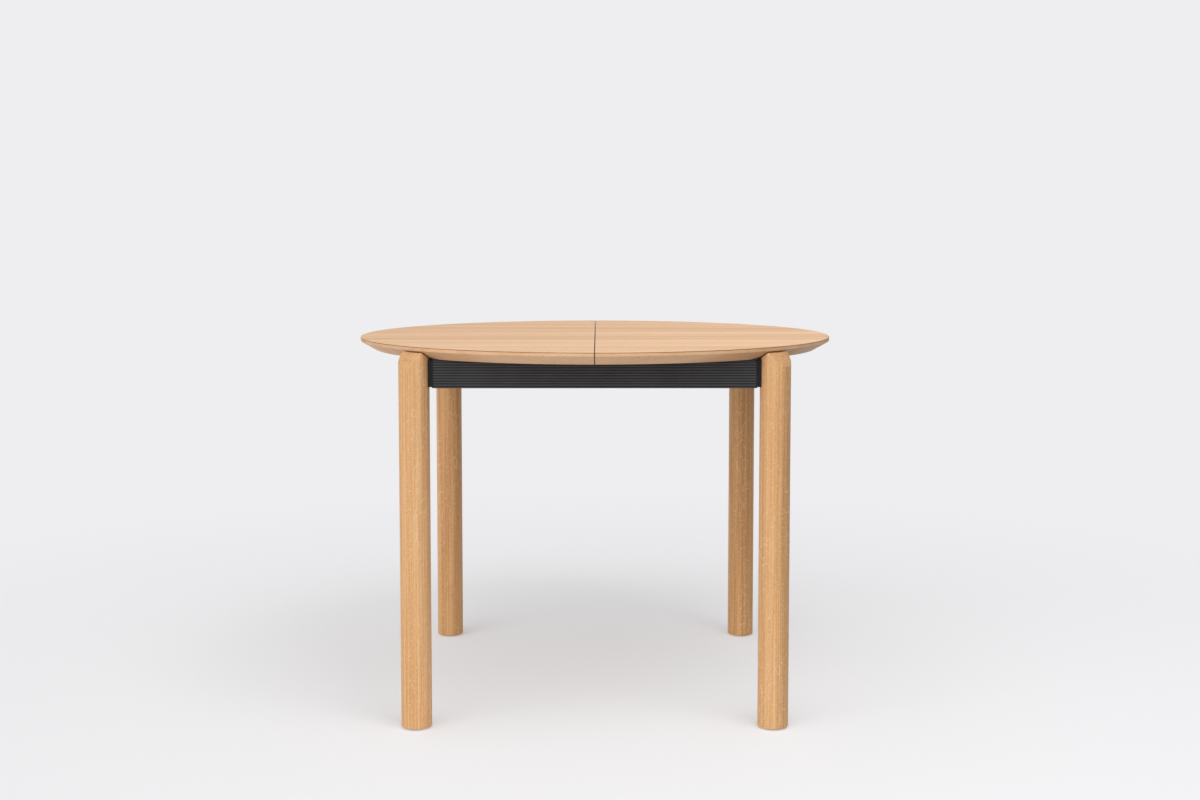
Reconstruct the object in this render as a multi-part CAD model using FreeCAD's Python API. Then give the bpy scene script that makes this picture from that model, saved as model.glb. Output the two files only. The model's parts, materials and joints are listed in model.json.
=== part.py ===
"""Round extending table with two sliding halves, a stored folding leaf and geared telescopic rails.

Millimetres. The origin is on the floor under the middle of the closed top, +Z is up, the halves
slide along X, and the front is towards -Y.
"""
import FreeCAD
import Part
import math
import os

from FreeCAD import Vector

# Table top
table_height = 750.0
top_diameter = 1000.0
top_thickness = 25.0
rim_height = 8.0
rim_round = 1.5
bevel_width = 30.0
seam_gap = 0.5
seam_chamfer = 1.0

# Legs and their feet
leg_diameter = 60.0
leg_axis_inset = 5.0  # from the rim of the top to the axis of the leg
leg_shadow_gap = 3.2  # open joint between the top and the leg's roof
leg_facet_angle = 46.0  # fall of the roof's outer slope, degrees
leg_foot_round = 2.0
leg_edge_round = 2.0  # of the roof's edges
foot_glide_diameter = 46.0
foot_glide_thickness = 2.5
foot_stem_diameter = 6.0
foot_stem_length = 18.0

# Ribbed rails, one extrusion with two tracks one above the other
rail_height = 54.0
rail_depth = 28.0
rail_side_wall = 4.0
rail_web = 2.5
rail_edge_chamfer = 1.0
rail_setback = 5.5  # from the face of the leg to the end of the corner block
rib_pitch = 5.2
groove_mouth = 2.4
groove_floor = 1.4
groove_depth = 1.0
slide_gap = 1.2  # between the rails and the underside of the top
closing_gap = 0.5  # between a rail's end cap and the corner block of a closed half
cap_thickness = 3.0
cap_inset = 0.5
cap_plug_depth = 6.0
button_diameter = 14.0
button_gap = 0.3  # between the buttons and the underside of the top
button_stem_diameter = 6.0
button_inset = 75.0  # from the end of the rail to its last button

# Runners that telescope in the tracks
slide_travel = 200.0  # of each half
runner_clearance = 0.75
runner_wall = 2.0
runner_guide_gap = 0.3
shoe_length = 12.0
shoe_plug_depth = 15.0
shoe_clearance = 0.3
shoe_end_gap = 3.0

# Corner blocks and the bolts that hold the legs
arm_width = 22.0
block_shoulder = 18.0  # from the line of a rail to the inner corner of a block's end
block_rise = 2.0  # of the block's lower face above the rails' lower face
spigot_length = 40.0
leg_bolt_radius = 4.0
leg_bolt_head_radius = 6.5
leg_bolt_head_height = 5.0
leg_bolt_socket = 3.0  # inner radius of the key socket
leg_bolt_length = 28.0
leg_bolt_spacing = 26.0
leg_bolt_end_gap = 2.0
insert_radius = 6.0
insert_length = 18.0
insert_recess = 1.0

# Screws: one kind into the wood, one into the walls of the rails
screw_radius = 2.0
screw_head_radius = 3.5
screw_head_height = 2.0
screw_socket_radius = 1.25
screw_socket_depth = 1.2
wood_grip = 12.0
screw_tip_cover = 0.8  # wall left in front of a screw that holds in a rail

# Steel plates
plate = 2.5
bracket_width = 34.0
bracket_reach = 34.0
bracket_drop = 28.0
bracket_spacing = 150.0
bracket_screw_spacing = 18.0
bracket_screw_edge = 9.0

# Folding leaf, its hinges and the straps that carry it
leaf_fold_gap = 0.5
leaf_top_gap = 1.2  # between the stored leaf and the underside of the top
leaf_side_gap = 12.0  # between the stored leaf and the gear bracket
hinge_length = 60.0
hinge_inset = 50.0  # from the side of a panel to the hinge
hinge_plate = 1.6
hinge_height = 20.0
knuckle_radius = 3.0
knuckle_gap = 0.3
hinge_pin_radius = 1.5
hinge_screw_radius = 1.5
hinge_screw_head_radius = 2.8
hinge_screw_head_height = 1.2
hinge_screw_grip = 12.0
strap_width = 30.0
strap_inset = 55.0  # from the side of a panel to the strap
strap_screw_spacing = 16.0
pad_length = 40.0
pad_thickness = 1.0
pad_side_inset = 3.0
pad_end_inset = 40.0

# Synchronising gear and racks
gear_module = 1.5
gear_teeth = 18
gear_pressure_angle = 20.0
gear_flank_gap = 0.1  # taken off each flank of gear and racks
gear_width = 10.0
gear_drop = 4.0  # of the gear's middle below the middle of the rails
gear_axle_radius = 4.0
gear_axle_head_radius = 7.0
gear_axle_head_height = 3.0
gear_running_gap = 0.3
gear_boss_radius = 7.0
gear_boss_height = 4.0
gear_plate_width = 50.0
gear_tab_height = 28.0
gear_root_factor = 1.25  # depth of a tooth space below the pitch line, in modules
flank_points = 5
rack_back = 6.0
rack_run_out = 15.0
rack_foot_thickness = 4.0
rack_foot_width = 20.0
rack_foot_margin = 9.0  # of the foot above and below the bar
rack_end_gap = 2.0  # between the left foot and the corner block
rack_guide_gap = 0.4
rack_guide_length = 30.0

# Seam pins with their sockets, and lock bolts
pin_radius = 4.0
pin_embed = 25.0
pin_reach = 14.0
pin_tip = 1.5
pin_lock_spacing = 36.0  # between the axes of a lock bolt and of the pin beside it
pin_running_gap = 0.3
socket_wall = 2.0
socket_length = 20.0
lock_length = 60.0
lock_wall = 1.5  # beside the bore and the screw wells
lock_height = 16.0
lock_set_back = 2.0  # from the seam to housing and keeper
lock_bolt_radius = 4.0
lock_bolt_gap = 0.4
lock_bolt_travel = 18.0
lock_knob_radius = 2.5
lock_knob_reach = 6.0  # below the housing
lock_screw_edge = 8.0
keeper_length = 20.0

# Clearances shared by pieces of one body
fit_gap = 0.1
drill_margin = 0.5

# Sides of the table as signs along X and Y
LEFT, RIGHT = -1, 1
FRONT, REAR = -1, 1
SIDE_NAMES = {LEFT: "left", RIGHT: "right"}
ROW_NAMES = {FRONT: "front", REAR: "rear"}

# Levels and places that follow from the sizes
top_radius = top_diameter / 2
flat_radius = top_radius - bevel_width
underside_z = table_height - top_thickness
rim_bottom_z = table_height - rim_height
ridge_z = rim_bottom_z - leg_shadow_gap
seam_half = seam_gap / 2
leg_radius = leg_diameter / 2
leg_ring = top_radius - leg_axis_inset
leg_offset = leg_ring / math.sqrt(2)
rail_top_z = underside_z - slide_gap
rail_bottom_z = rail_top_z - rail_height
rail_mid_z = (rail_top_z + rail_bottom_z) / 2
rail_inner = leg_offset - rail_depth / 2
block_reach = leg_radius + rail_setback
arm_end = leg_offset - block_reach
cap_face = arm_end - closing_gap
rail_end = cap_face - cap_thickness
track_width = rail_depth - 2 * rail_side_wall
track_height = (rail_height - 3 * rail_web) / 2
track_rise = (track_height + rail_web) / 2
TRACK_Z = {LEFT: rail_mid_z + track_rise, RIGHT: rail_mid_z - track_rise}
runner_width = track_width - 2 * runner_clearance
runner_height = track_height - 2 * runner_clearance
runner_tip = rail_end - cap_plug_depth - shoe_end_gap - shoe_length
button_head = slide_gap - button_gap
button_reach = rail_end - button_inset
wall_grip = rail_side_wall - screw_tip_cover
BRACKET_Y = (-bracket_spacing, 0.0, bracket_spacing)
bolt_face = (block_reach + block_shoulder) / math.sqrt(2)  # from the leg's axis
insert_end = bolt_face - leg_radius + insert_recess + insert_length  # from the bolt's head seat
leg_bore_depth = max(insert_end, leg_bolt_length) + leg_bolt_end_gap
LEG_BOLT_Z = (rail_mid_z - leg_bolt_spacing / 2, rail_mid_z + leg_bolt_spacing / 2)
gear_radius = gear_module * gear_teeth / 2
gear_bottom_z = rail_mid_z - gear_drop - gear_width / 2
gear_top_z = gear_bottom_z + gear_width
gear_plate_top_z = gear_bottom_z - gear_running_gap - gear_boss_height
tooth_pitch = math.pi * gear_module
tooth_root = gear_root_factor * gear_module
rack_depth = gear_radius + tooth_root + rack_back  # from the gear's axis to the back of a rack
rack_tip = slide_travel + rack_run_out
rack_bar_middle = gear_radius + tooth_root + rack_back / 2  # from the gear's axis
gear_y = arm_end - rack_end_gap - rack_foot_width / 2 - rack_bar_middle
guide_y = rack_depth + rack_guide_gap  # from the gear's axis to the face of a guide
gear_plate_edge = gear_y - guide_y - plate
leaf_width = 2 * slide_travel - seam_gap
panel_length = top_radius - leaf_fold_gap / 2
leaf_rear = gear_plate_edge - leaf_side_gap
leaf_front = leaf_rear - panel_length
fold_z = underside_z - leaf_top_gap - top_thickness - leaf_fold_gap / 2
leaf_bottom_z = fold_z - leaf_fold_gap / 2 - top_thickness
strap_top_z = leaf_bottom_z - pad_thickness
strap_screw_z = (strap_top_z + rail_mid_z) / 2
strap_middle = leaf_width / 2 - strap_inset - strap_width / 2
STRAP_X = {LEFT: -strap_middle, RIGHT: strap_middle}
hinge_middle = leaf_width / 2 - hinge_inset - hinge_length / 2
HINGE_X = (-hinge_middle, hinge_middle)
knuckle_y = leaf_front + hinge_plate - knuckle_radius
pin_z = (table_height + underside_z) / 2
socket_radius = pin_radius + pin_running_gap + socket_wall
lock_bottom_z = underside_z - lock_height
lock_axis_z = underside_z - lock_height / 2
lock_end = lock_set_back + lock_length
lock_y = (rail_inner - knuckle_y + knuckle_radius) / 2  # middle of the bay between hinges and rail
PIN_Y = (pin_lock_spacing - lock_y, 0.0, lock_y - pin_lock_spacing)
well_radius = screw_head_radius + drill_margin
lock_screw_offset = lock_bolt_radius + lock_bolt_gap + lock_wall + well_radius
lock_width = 2 * (lock_screw_offset + well_radius + lock_wall)
lock_knob_x = -lock_set_back - lock_length / 2 - lock_bolt_travel / 2

X = Vector(1, 0, 0)
Z = Vector(0, 0, 1)


def box(x, y, z):
    """Block between two places along each axis, each pair given in any order."""
    low = Vector(min(x), min(y), min(z))
    return Part.makeBox(max(x) - low.x, max(y) - low.y, max(z) - low.z, low)


def bar(x, y_middle, width, z_middle, height):
    """Block along X with its section given by its middle and size."""
    across = (y_middle - width / 2, y_middle + width / 2)
    return box(x, across, (z_middle - height / 2, z_middle + height / 2))


def prism(points, along):
    """Solid of a flat outline moved along a vector."""
    solid = Part.Face(Part.makePolygon(points + points[:1])).extrude(along)
    return solid if solid.Volume > 0 else solid.reversed()


def cut_all(shape, tools):
    """Shape with every tool taken out of it."""
    return shape.cut(Part.makeCompound(tools)) if tools else shape


def join(first, *others):
    """One solid of several that touch or overlap."""
    return first.multiFuse(list(others)).removeSplitter()


def save(name, *solids):
    """Writes a piece, or a group of like pieces, to its own file."""
    shape = solids[0] if len(solids) == 1 else Part.makeCompound(solids)
    shape.exportStep(os.path.join("parts", name + ".step"))


def screw(place, along, length):
    """Pan-head screw with a round drive socket; place is where the head sits."""
    head = Part.makeCylinder(screw_head_radius, screw_head_height, place, -along)
    shank = Part.makeCylinder(screw_radius, length, place, along)
    drive_start = place - along * (screw_head_height - screw_socket_depth)
    drive = Part.makeCylinder(screw_socket_radius, screw_socket_depth, drive_start, -along)
    return join(head, shank).cut(drive)


def screw_hole(place, along, length):
    """Room for the shank of a screw."""
    return Part.makeCylinder(screw_radius + fit_gap, length + drill_margin, place, along)


def wood_screws(places):
    """Screws that pass one plate and hold in the top, heads down."""
    return [screw(place, Z, plate + wood_grip) for place in places]


def wood_screw_holes(places):
    """Room for those screws."""
    return [screw_hole(place, Z, plate + wood_grip) for place in places]


# Table top


def top_disc():
    """Whole round top with its rim rounded and its underside bevelled."""
    outline = [
        Vector(0, 0, underside_z),
        Vector(flat_radius, 0, underside_z),
        Vector(top_radius, 0, rim_bottom_z),
        Vector(top_radius, 0, table_height),
        Vector(0, 0, table_height),
    ]
    disc = Part.Face(Part.makePolygon(outline + outline[:1])).revolve(Vector(0, 0, 0), Z, 360)
    rims = [edge for edge in disc.Edges if edge.BoundBox.XLength > 2 * flat_radius + bevel_width]
    return disc.makeFillet(rim_round, rims)


def bracket_screw_places(side):
    """Head seats of the screws that hold the brackets of one half to its top."""
    x = side * (rail_inner - bracket_reach + bracket_screw_edge)
    return [
        Vector(x, y + offset, underside_z - plate)
        for y in BRACKET_Y
        for offset in (-bracket_screw_spacing / 2, bracket_screw_spacing / 2)
    ]


def lock_screw_places(side):
    """Head seats of the screws of the lock housings on the left, or of the keepers on the right."""
    length = lock_length if side == LEFT else keeper_length
    ends = (lock_set_back + lock_screw_edge, lock_set_back + length - lock_screw_edge)
    columns = ends if side == LEFT else ((ends[0] + ends[1]) / 2,)
    return [
        Vector(side * x, row * lock_y + offset, underside_z - plate)
        for row in (FRONT, REAR)
        for x in columns
        for offset in (-lock_screw_offset, lock_screw_offset)
    ]


def top_half(disc, side):
    """Half of the top with an eased seam edge and its drilled holes."""
    across = (-top_radius, top_radius)
    half = disc.common(box((side * seam_half, side * top_radius), across, (0, table_height)))
    eased = [
        Vector(side * seam_half, -top_radius, table_height),
        Vector(side * (seam_half + seam_chamfer), -top_radius, table_height),
        Vector(side * seam_half, -top_radius, table_height - seam_chamfer),
    ]
    tools = [prism(eased, Vector(0, top_diameter, 0))]
    radius = pin_radius if side == LEFT else socket_radius
    depth = pin_embed if side == LEFT else socket_length
    inward = Vector(side, 0, 0)
    for y in PIN_Y:
        tools.append(Part.makeCylinder(radius + fit_gap, depth + drill_margin, Vector(0, y, pin_z), inward))
    tools += wood_screw_holes(bracket_screw_places(side) + lock_screw_places(side))
    return cut_all(half, tools)


def seam_pin(y):
    """Pin with a chamfered tip that stands out of the left half's seam."""
    length = pin_embed + pin_reach - pin_tip
    body = Part.makeCylinder(pin_radius, length, Vector(-pin_embed, y, pin_z), X)
    start = Vector(pin_reach - pin_tip, y, pin_z)
    return join(body, Part.makeCone(pin_radius, pin_radius - pin_tip, pin_tip, start, X))


def seam_socket(y):
    """Bush in the right half's seam that takes a pin."""
    start = Vector(seam_half, y, pin_z)
    body = Part.makeCylinder(socket_radius, socket_length - seam_half, start, X)
    return body.cut(Part.makeCylinder(pin_radius + pin_running_gap, socket_length, start, X))


# Legs


def leg_axis(side, row, z):
    """Point on the axis of a leg."""
    return Vector(side * leg_offset, row * leg_offset, z)


def outward(side, row):
    """Direction from the middle of the table to a leg."""
    return Vector(side, row, 0).normalize()


def room_above_bevel():
    """Space above the inner slope of the legs' roofs, which follows the bevel of the top."""
    rise = (rim_bottom_z - underside_z) / bevel_width
    near = leg_ring - leg_diameter
    far = leg_ring + leg_diameter
    low = ridge_z + (near - top_radius) * rise
    high = ridge_z + (far - top_radius) * rise
    outline = [Vector(near, 0, low), Vector(far, 0, high), Vector(near, 0, high)]
    return Part.Face(Part.makePolygon(outline + outline[:1])).revolve(Vector(0, 0, 0), Z, 360)


def room_above_facet(side, row):
    """Space above the outer slope of a leg's roof, which starts under the rim of the top."""
    away = outward(side, row)
    across = Z.cross(away)
    fall = math.tan(math.radians(leg_facet_angle))
    near = leg_ring - 2 * leg_diameter
    far = leg_ring + 2 * leg_diameter
    high = ridge_z + (top_radius - near) * fall
    low = ridge_z + (top_radius - far) * fall
    corners = [away * near + Z * high, away * far + Z * low, away * far + Z * high]
    return prism([corner - across * leg_diameter for corner in corners], across * (2 * leg_diameter))


def leg(side, row):
    """Round leg with a rounded foot, a roof-shaped top and its bored holes."""
    foot = leg_axis(side, row, foot_glide_thickness)
    stock = Part.makeCylinder(leg_radius, rim_bottom_z - foot_glide_thickness, foot)
    lowest = [edge for edge in stock.Edges if edge.BoundBox.ZMax < foot_glide_thickness + leg_foot_round]
    stock = stock.makeFillet(leg_foot_round, lowest)
    stock = stock.cut(room_above_bevel()).cut(room_above_facet(side, row))
    roof = [edge for edge in stock.Edges if edge.BoundBox.ZMin > foot_glide_thickness + leg_foot_round]
    stock = stock.makeFillet(leg_edge_round, roof)
    tools = [Part.makeCylinder(foot_stem_diameter / 2 + fit_gap, foot_stem_length + drill_margin, foot)]
    away = outward(side, row)
    for z in LEG_BOLT_Z:
        start = leg_axis(side, row, z) - away * bolt_face
        tools.append(Part.makeCylinder(insert_radius + fit_gap, leg_bore_depth, start, away))
    for tool in tools:
        stock = stock.cut(tool)
    return stock


def foot_glide(side, row):
    """Glide disc with the stem that holds it in the leg."""
    disc = Part.makeCylinder(foot_glide_diameter / 2, foot_glide_thickness, leg_axis(side, row, 0))
    stem_foot = leg_axis(side, row, foot_glide_thickness)
    return join(disc, Part.makeCylinder(foot_stem_diameter / 2, foot_stem_length, stem_foot))


def leg_bolt(side, row, z):
    """Socket-head bolt through the corner block into the leg."""
    away = outward(side, row)
    seat = leg_axis(side, row, z) - away * bolt_face
    head = Part.makeCylinder(leg_bolt_head_radius, leg_bolt_head_height, seat, -away)
    shank = Part.makeCylinder(leg_bolt_radius, leg_bolt_length, seat, away)
    across = Z.cross(away)
    middle = seat - away * leg_bolt_head_height / 2
    turns = [math.radians(60 * step) for step in range(6)]
    key = [middle + (across * math.cos(turn) + Z * math.sin(turn)) * leg_bolt_socket for turn in turns]
    return join(head, shank).cut(prism(key, -away * leg_bolt_head_height))


def leg_insert(side, row, z):
    """Threaded insert in the leg that takes a bolt."""
    away = outward(side, row)
    start = leg_axis(side, row, z) - away * (leg_radius - insert_recess)
    sleeve = Part.makeCylinder(insert_radius, insert_length, start, away)
    return sleeve.cut(Part.makeCylinder(leg_bolt_radius + fit_gap, insert_length, start, away))


# Rails with caps and buttons


def ribbed_bar(half_length):
    """Two-track extrusion along X, ribs towards -Y, in the place of the front rail."""
    face = -leg_offset - rail_depth / 2
    count = int(rail_height / rib_pitch)
    first = rail_mid_z - (count - 1) * rib_pitch / 2
    outline = [(face + rail_edge_chamfer, rail_bottom_z), (face, rail_bottom_z + rail_edge_chamfer)]
    for index in range(count):
        middle = first + index * rib_pitch
        outline += [
            (face, middle - groove_mouth / 2),
            (face + groove_depth, middle - groove_floor / 2),
            (face + groove_depth, middle + groove_floor / 2),
            (face, middle + groove_mouth / 2),
        ]
    outline += [(face, rail_top_z - rail_edge_chamfer), (face + rail_edge_chamfer, rail_top_z)]
    outline += [(face + rail_depth, rail_top_z), (face + rail_depth, rail_bottom_z)]
    points = [Vector(-half_length, y, z) for y, z in outline]
    extrusion = prism(points, Vector(2 * half_length, 0, 0))
    ends = (-half_length, half_length)
    tracks = [bar(ends, -leg_offset, track_width, z, track_height) for z in TRACK_Z.values()]
    return cut_all(extrusion, tracks)


def turned(shape, degrees):
    """Copy of a shape turned about the middle of the table."""
    return shape.rotated(Vector(0, 0, 0), Z, degrees)


def button_places(row):
    """Seats of the glide buttons along the upper face of a sliding rail."""
    steps = (-1, -1 / 3, 1 / 3, 1)
    return [Vector(step * button_reach, row * leg_offset, rail_top_z) for step in steps]


def glide_button(place):
    """Low round button with a stem through the rail's upper wall."""
    head = Part.makeCylinder(button_diameter / 2, button_head, place)
    return join(head, Part.makeCylinder(button_stem_diameter / 2, rail_web, place, -Z))


def sliding_rail(row):
    """Front or rear rail in which the runners slide."""
    rail = turned(ribbed_bar(rail_end), 0 if row == FRONT else 180)
    radius = button_stem_diameter / 2 + fit_gap
    tools = [Part.makeCylinder(radius, rail_web, place, -Z) for place in button_places(row)]
    tools += [screw_hole(place, Vector(0, row, 0), plate + wall_grip) for place in rail_screw_places(row)]
    return cut_all(rail, tools)


def rail_cap(side, row):
    """End cap: a guide for the runner that comes out here and a plug for the other track."""
    middle = row * leg_offset
    cap = bar((side * rail_end, side * cap_face), middle, rail_depth - 2 * cap_inset,
              rail_mid_z, rail_height - 2 * cap_inset)
    mouth = bar((side * rail_end, side * cap_face), middle, runner_width + 2 * runner_guide_gap,
                TRACK_Z[side], runner_height + 2 * runner_guide_gap)
    plug = bar((side * rail_end, side * (rail_end - cap_plug_depth)), middle, track_width - 2 * fit_gap,
               TRACK_Z[-side], track_height - 2 * fit_gap)
    return join(cap.cut(mouth), plug)


def end_rail(side):
    """Rail between the two legs of one half."""
    rail = turned(ribbed_bar(arm_end), -90 if side == LEFT else 90)
    into_wall = Vector(side, 0, 0)
    foot_screw = rack_foot_thickness + wall_grip
    tools = [screw_hole(place, into_wall, plate + wall_grip) for place in tab_screw_places(side)]
    tools += [screw_hole(place, into_wall, foot_screw) for place in rack_screw_places(side)]
    return cut_all(rail, tools)


# Runners and corner blocks


def runner(side, row):
    """Square tube that slides in its track of a rail."""
    ends = (side * arm_end, -side * runner_tip)
    tube = bar(ends, row * leg_offset, runner_width, TRACK_Z[side], runner_height)
    hollow = bar(ends, row * leg_offset, runner_width - 2 * runner_wall,
                 TRACK_Z[side], runner_height - 2 * runner_wall)
    return tube.cut(hollow)


def runner_shoe(side, row):
    """Sliding shoe plugged into the inner end of a runner."""
    middle = row * leg_offset
    start = -side * runner_tip
    shoe = bar((start, start - side * shoe_length), middle, track_width - 2 * shoe_clearance,
               TRACK_Z[side], track_height - 2 * shoe_clearance)
    inner = 2 * (runner_wall + fit_gap)
    plug = bar((start, start + side * shoe_plug_depth), middle, runner_width - inner,
               TRACK_Z[side], runner_height - inner)
    return join(shoe, plug)


def corner_block(side, row):
    """Casting that joins a leg, a runner and an end rail, and carries the top."""
    half = arm_width / 2
    outline = [(0, -half), (block_reach, -half), (block_reach, block_shoulder),
               (block_shoulder, block_reach), (-half, block_reach), (-half, 0)]
    bottom_z = rail_bottom_z + block_rise
    points = [Vector(side * (leg_offset - x), row * (leg_offset - y), bottom_z) for x, y in outline]
    block = prism(points, Z * (underside_z - bottom_z))
    seat = leg_axis(side, row, bottom_z)
    block = block.cut(Part.makeCylinder(leg_radius + fit_gap, underside_z - bottom_z, seat))
    inner = 2 * (runner_wall + fit_gap)
    spigots = [bar((side * arm_end, side * (arm_end - spigot_length)), row * leg_offset,
                   runner_width - inner, TRACK_Z[side], runner_height - inner)]
    spigot_half = track_width / 2 - fit_gap
    spigot_x = (side * leg_offset - spigot_half, side * leg_offset + spigot_half)
    spigot_y = (row * arm_end, row * (arm_end - spigot_length))
    for z in TRACK_Z.values():
        rise = track_height / 2 - fit_gap
        spigots.append(box(spigot_x, spigot_y, (z - rise, z + rise)))
    block = join(block, *spigots)
    away = outward(side, row)
    seats = [leg_axis(side, row, z) - away * bolt_face for z in LEG_BOLT_Z]
    holes = [Part.makeCylinder(leg_bolt_radius + fit_gap, leg_radius, seat, away) for seat in seats]
    return cut_all(block, holes)


# Brackets that hold the top to the end rails


def tab_screw_places(side):
    """Head seats of the screws that hold the brackets of one half to its end rail."""
    z = underside_z - bracket_drop + bracket_screw_edge
    return [
        Vector(side * (rail_inner - plate), y + offset, z)
        for y in BRACKET_Y
        for offset in (-bracket_screw_spacing / 2, bracket_screw_spacing / 2)
    ]


def top_bracket(side, y):
    """Angle plate under the top and against the end rail."""
    across = (y - bracket_width / 2, y + bracket_width / 2)
    inner = side * rail_inner
    flat = box((inner, inner - side * bracket_reach), across, (underside_z - plate, underside_z))
    tab = box((inner, inner - side * plate), across, (underside_z - bracket_drop, underside_z))
    tools = wood_screw_holes(bracket_screw_places(side))
    tools += [screw_hole(place, Vector(side, 0, 0), plate) for place in tab_screw_places(side)]
    return cut_all(join(flat, tab), tools)


# Leaf, hinges and straps


def leaf_panel(fold_side):
    """One panel of the folded leaf, below (-1) or above (1) the fold, show face to the fold."""
    show_z = fold_z + fold_side * leaf_fold_gap / 2
    back_z = show_z + fold_side * top_thickness
    rim_z = show_z + fold_side * rim_height
    outline = [(leaf_front, show_z), (leaf_rear, show_z), (leaf_rear, rim_z),
               (leaf_rear - bevel_width, back_z), (leaf_front, back_z)]
    points = [Vector(-leaf_width / 2, y, z) for y, z in outline]
    panel = prism(points, Vector(leaf_width, 0, 0))
    mortise = hinge_plate + fit_gap
    reach = hinge_height + fit_gap
    tools = []
    for middle in HINGE_X:
        ends = (middle - hinge_length / 2 - fit_gap, middle + hinge_length / 2 + fit_gap)
        tools.append(box(ends, (leaf_front, leaf_front + mortise), (fold_z - reach, fold_z + reach)))
    tools += [hinge_screw_hole(place) for place in hinge_screw_places(fold_side)]
    return cut_all(panel, tools)


def hinge_screw_places(fold_side):
    """Head seats of the hinge screws of one panel."""
    level = (knuckle_radius + knuckle_gap + hinge_height) / 2
    return [
        Vector(middle + offset * hinge_length / 3, leaf_front, fold_z + fold_side * level)
        for middle in HINGE_X
        for offset in (-1, 1)
    ]


def hinge_screw(place):
    """Small screw through a hinge plate into the edge of a panel."""
    head = Part.makeCylinder(hinge_screw_head_radius, hinge_screw_head_height, place, Vector(0, -1, 0))
    shank = Part.makeCylinder(hinge_screw_radius, hinge_plate + hinge_screw_grip, place, Vector(0, 1, 0))
    return join(head, shank)


def hinge_screw_hole(place):
    """Room for the shank of a hinge screw."""
    length = hinge_plate + hinge_screw_grip + drill_margin
    return Part.makeCylinder(hinge_screw_radius + fit_gap, length, place, Vector(0, 1, 0))


def hinge_leaf(fold_side, middle):
    """Plate of a butt hinge with its own knuckles: the outer two below, the inner one above."""
    third = hinge_length / 3
    left_end = middle - hinge_length / 2
    depth = (leaf_front, leaf_front + hinge_plate)
    clear = knuckle_radius + knuckle_gap
    heights = (fold_z + fold_side * clear, fold_z + fold_side * hinge_height)
    flat = box((left_end, left_end + hinge_length), depth, heights)
    parts = []
    for index in (0, 2) if fold_side < 0 else (1,):
        start = left_end + index * third + knuckle_gap / 2
        end = start + third - knuckle_gap
        parts.append(Part.makeCylinder(knuckle_radius, end - start, Vector(start, knuckle_y, fold_z), X))
        parts.append(box((start, end), depth, (fold_z, fold_z + fold_side * clear)))
    pin_start = Vector(left_end, knuckle_y, fold_z)
    pin_room = Part.makeCylinder(hinge_pin_radius + fit_gap, hinge_length, pin_start, X)
    holes = [hinge_screw_hole(place) for place in hinge_screw_places(fold_side)]
    return cut_all(join(flat, *parts), holes + [pin_room])


def hinge_pin(middle):
    """Pin through the knuckles of one hinge."""
    start = Vector(middle - hinge_length / 2, knuckle_y, fold_z)
    return Part.makeCylinder(hinge_pin_radius, hinge_length, start, X)


def strap_screw_places(row):
    """Head seats of the strap screws on one rail."""
    return [
        Vector(middle + offset, row * (rail_inner - plate), strap_screw_z)
        for middle in STRAP_X.values()
        for offset in (-strap_screw_spacing / 2, strap_screw_spacing / 2)
    ]


def leaf_strap(middle):
    """Flat steel strap with upturned ends that hangs the leaf between the rails."""
    ends = (middle - strap_width / 2, middle + strap_width / 2)
    strap = box(ends, (-rail_inner, rail_inner), (strap_top_z - plate, strap_top_z))
    tabs = [
        box(ends, (row * rail_inner, row * (rail_inner - plate)), (strap_top_z - plate, rail_mid_z))
        for row in (FRONT, REAR)
    ]
    holes = [
        screw_hole(place, Vector(0, row, 0), plate)
        for row in (FRONT, REAR)
        for place in strap_screw_places(row)
    ]
    return cut_all(join(strap, *tabs), holes)


def leaf_pad(middle, end):
    """Rubber pad on a strap under one end of the leaf."""
    across = (middle - strap_width / 2 + pad_side_inset, middle + strap_width / 2 - pad_side_inset)
    outer = leaf_front + pad_end_inset if end == FRONT else leaf_rear - bevel_width - pad_end_inset
    return box(across, (outer, outer - end * pad_length), (strap_top_z, leaf_bottom_z))


# Synchronising gear


def involute(radius, base):
    """Angle by which an involute has turned at a radius."""
    angle = math.acos(base / radius)
    return math.tan(angle) - angle


def sync_gear():
    """Spur gear with a tooth towards each rack."""
    base = gear_radius * math.cos(math.radians(gear_pressure_angle))
    root = gear_radius - tooth_root
    tip = gear_radius + gear_module
    start = max(base, root)
    at_pitch = math.pi / (2 * gear_teeth) - gear_flank_gap / gear_radius + involute(gear_radius, base)
    radii = [start + (tip - start) * step / (flank_points - 1) for step in range(flank_points)]
    flank = [(root, at_pitch - involute(start, base))] if root < start else []
    flank += [(radius, at_pitch - involute(radius, base)) for radius in radii]
    points = []
    for tooth in range(gear_teeth):
        middle = math.pi / 2 + 2 * math.pi * tooth / gear_teeth
        sides = [(radius, middle - half) for radius, half in flank]
        sides += [(radius, middle + half) for radius, half in reversed(flank)]
        points += [
            Vector(radius * math.cos(turn), gear_y + radius * math.sin(turn), gear_bottom_z)
            for radius, turn in sides
        ]
    wheel = prism(points, Z * gear_width)
    centre = Vector(0, gear_y, gear_bottom_z)
    return wheel.cut(Part.makeCylinder(gear_axle_radius + gear_running_gap, gear_width, centre))


def gear_axle():
    """Shoulder screw that the gear turns on, held in the bracket."""
    foot = Vector(0, gear_y, gear_plate_top_z - plate)
    neck_z = gear_top_z + gear_running_gap
    shank = Part.makeCylinder(gear_axle_radius, neck_z - foot.z, foot)
    head = Part.makeCylinder(gear_axle_head_radius, gear_axle_head_height, Vector(0, gear_y, neck_z))
    return join(shank, head)


def gear_tab_screw_places():
    """Head seats of the screws that hold the gear bracket to the rear rail."""
    z = gear_plate_top_z + gear_tab_height / 2
    offsets = (-strap_screw_spacing / 2, strap_screw_spacing / 2)
    return [Vector(offset, rail_inner - plate, z) for offset in offsets]


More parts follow.
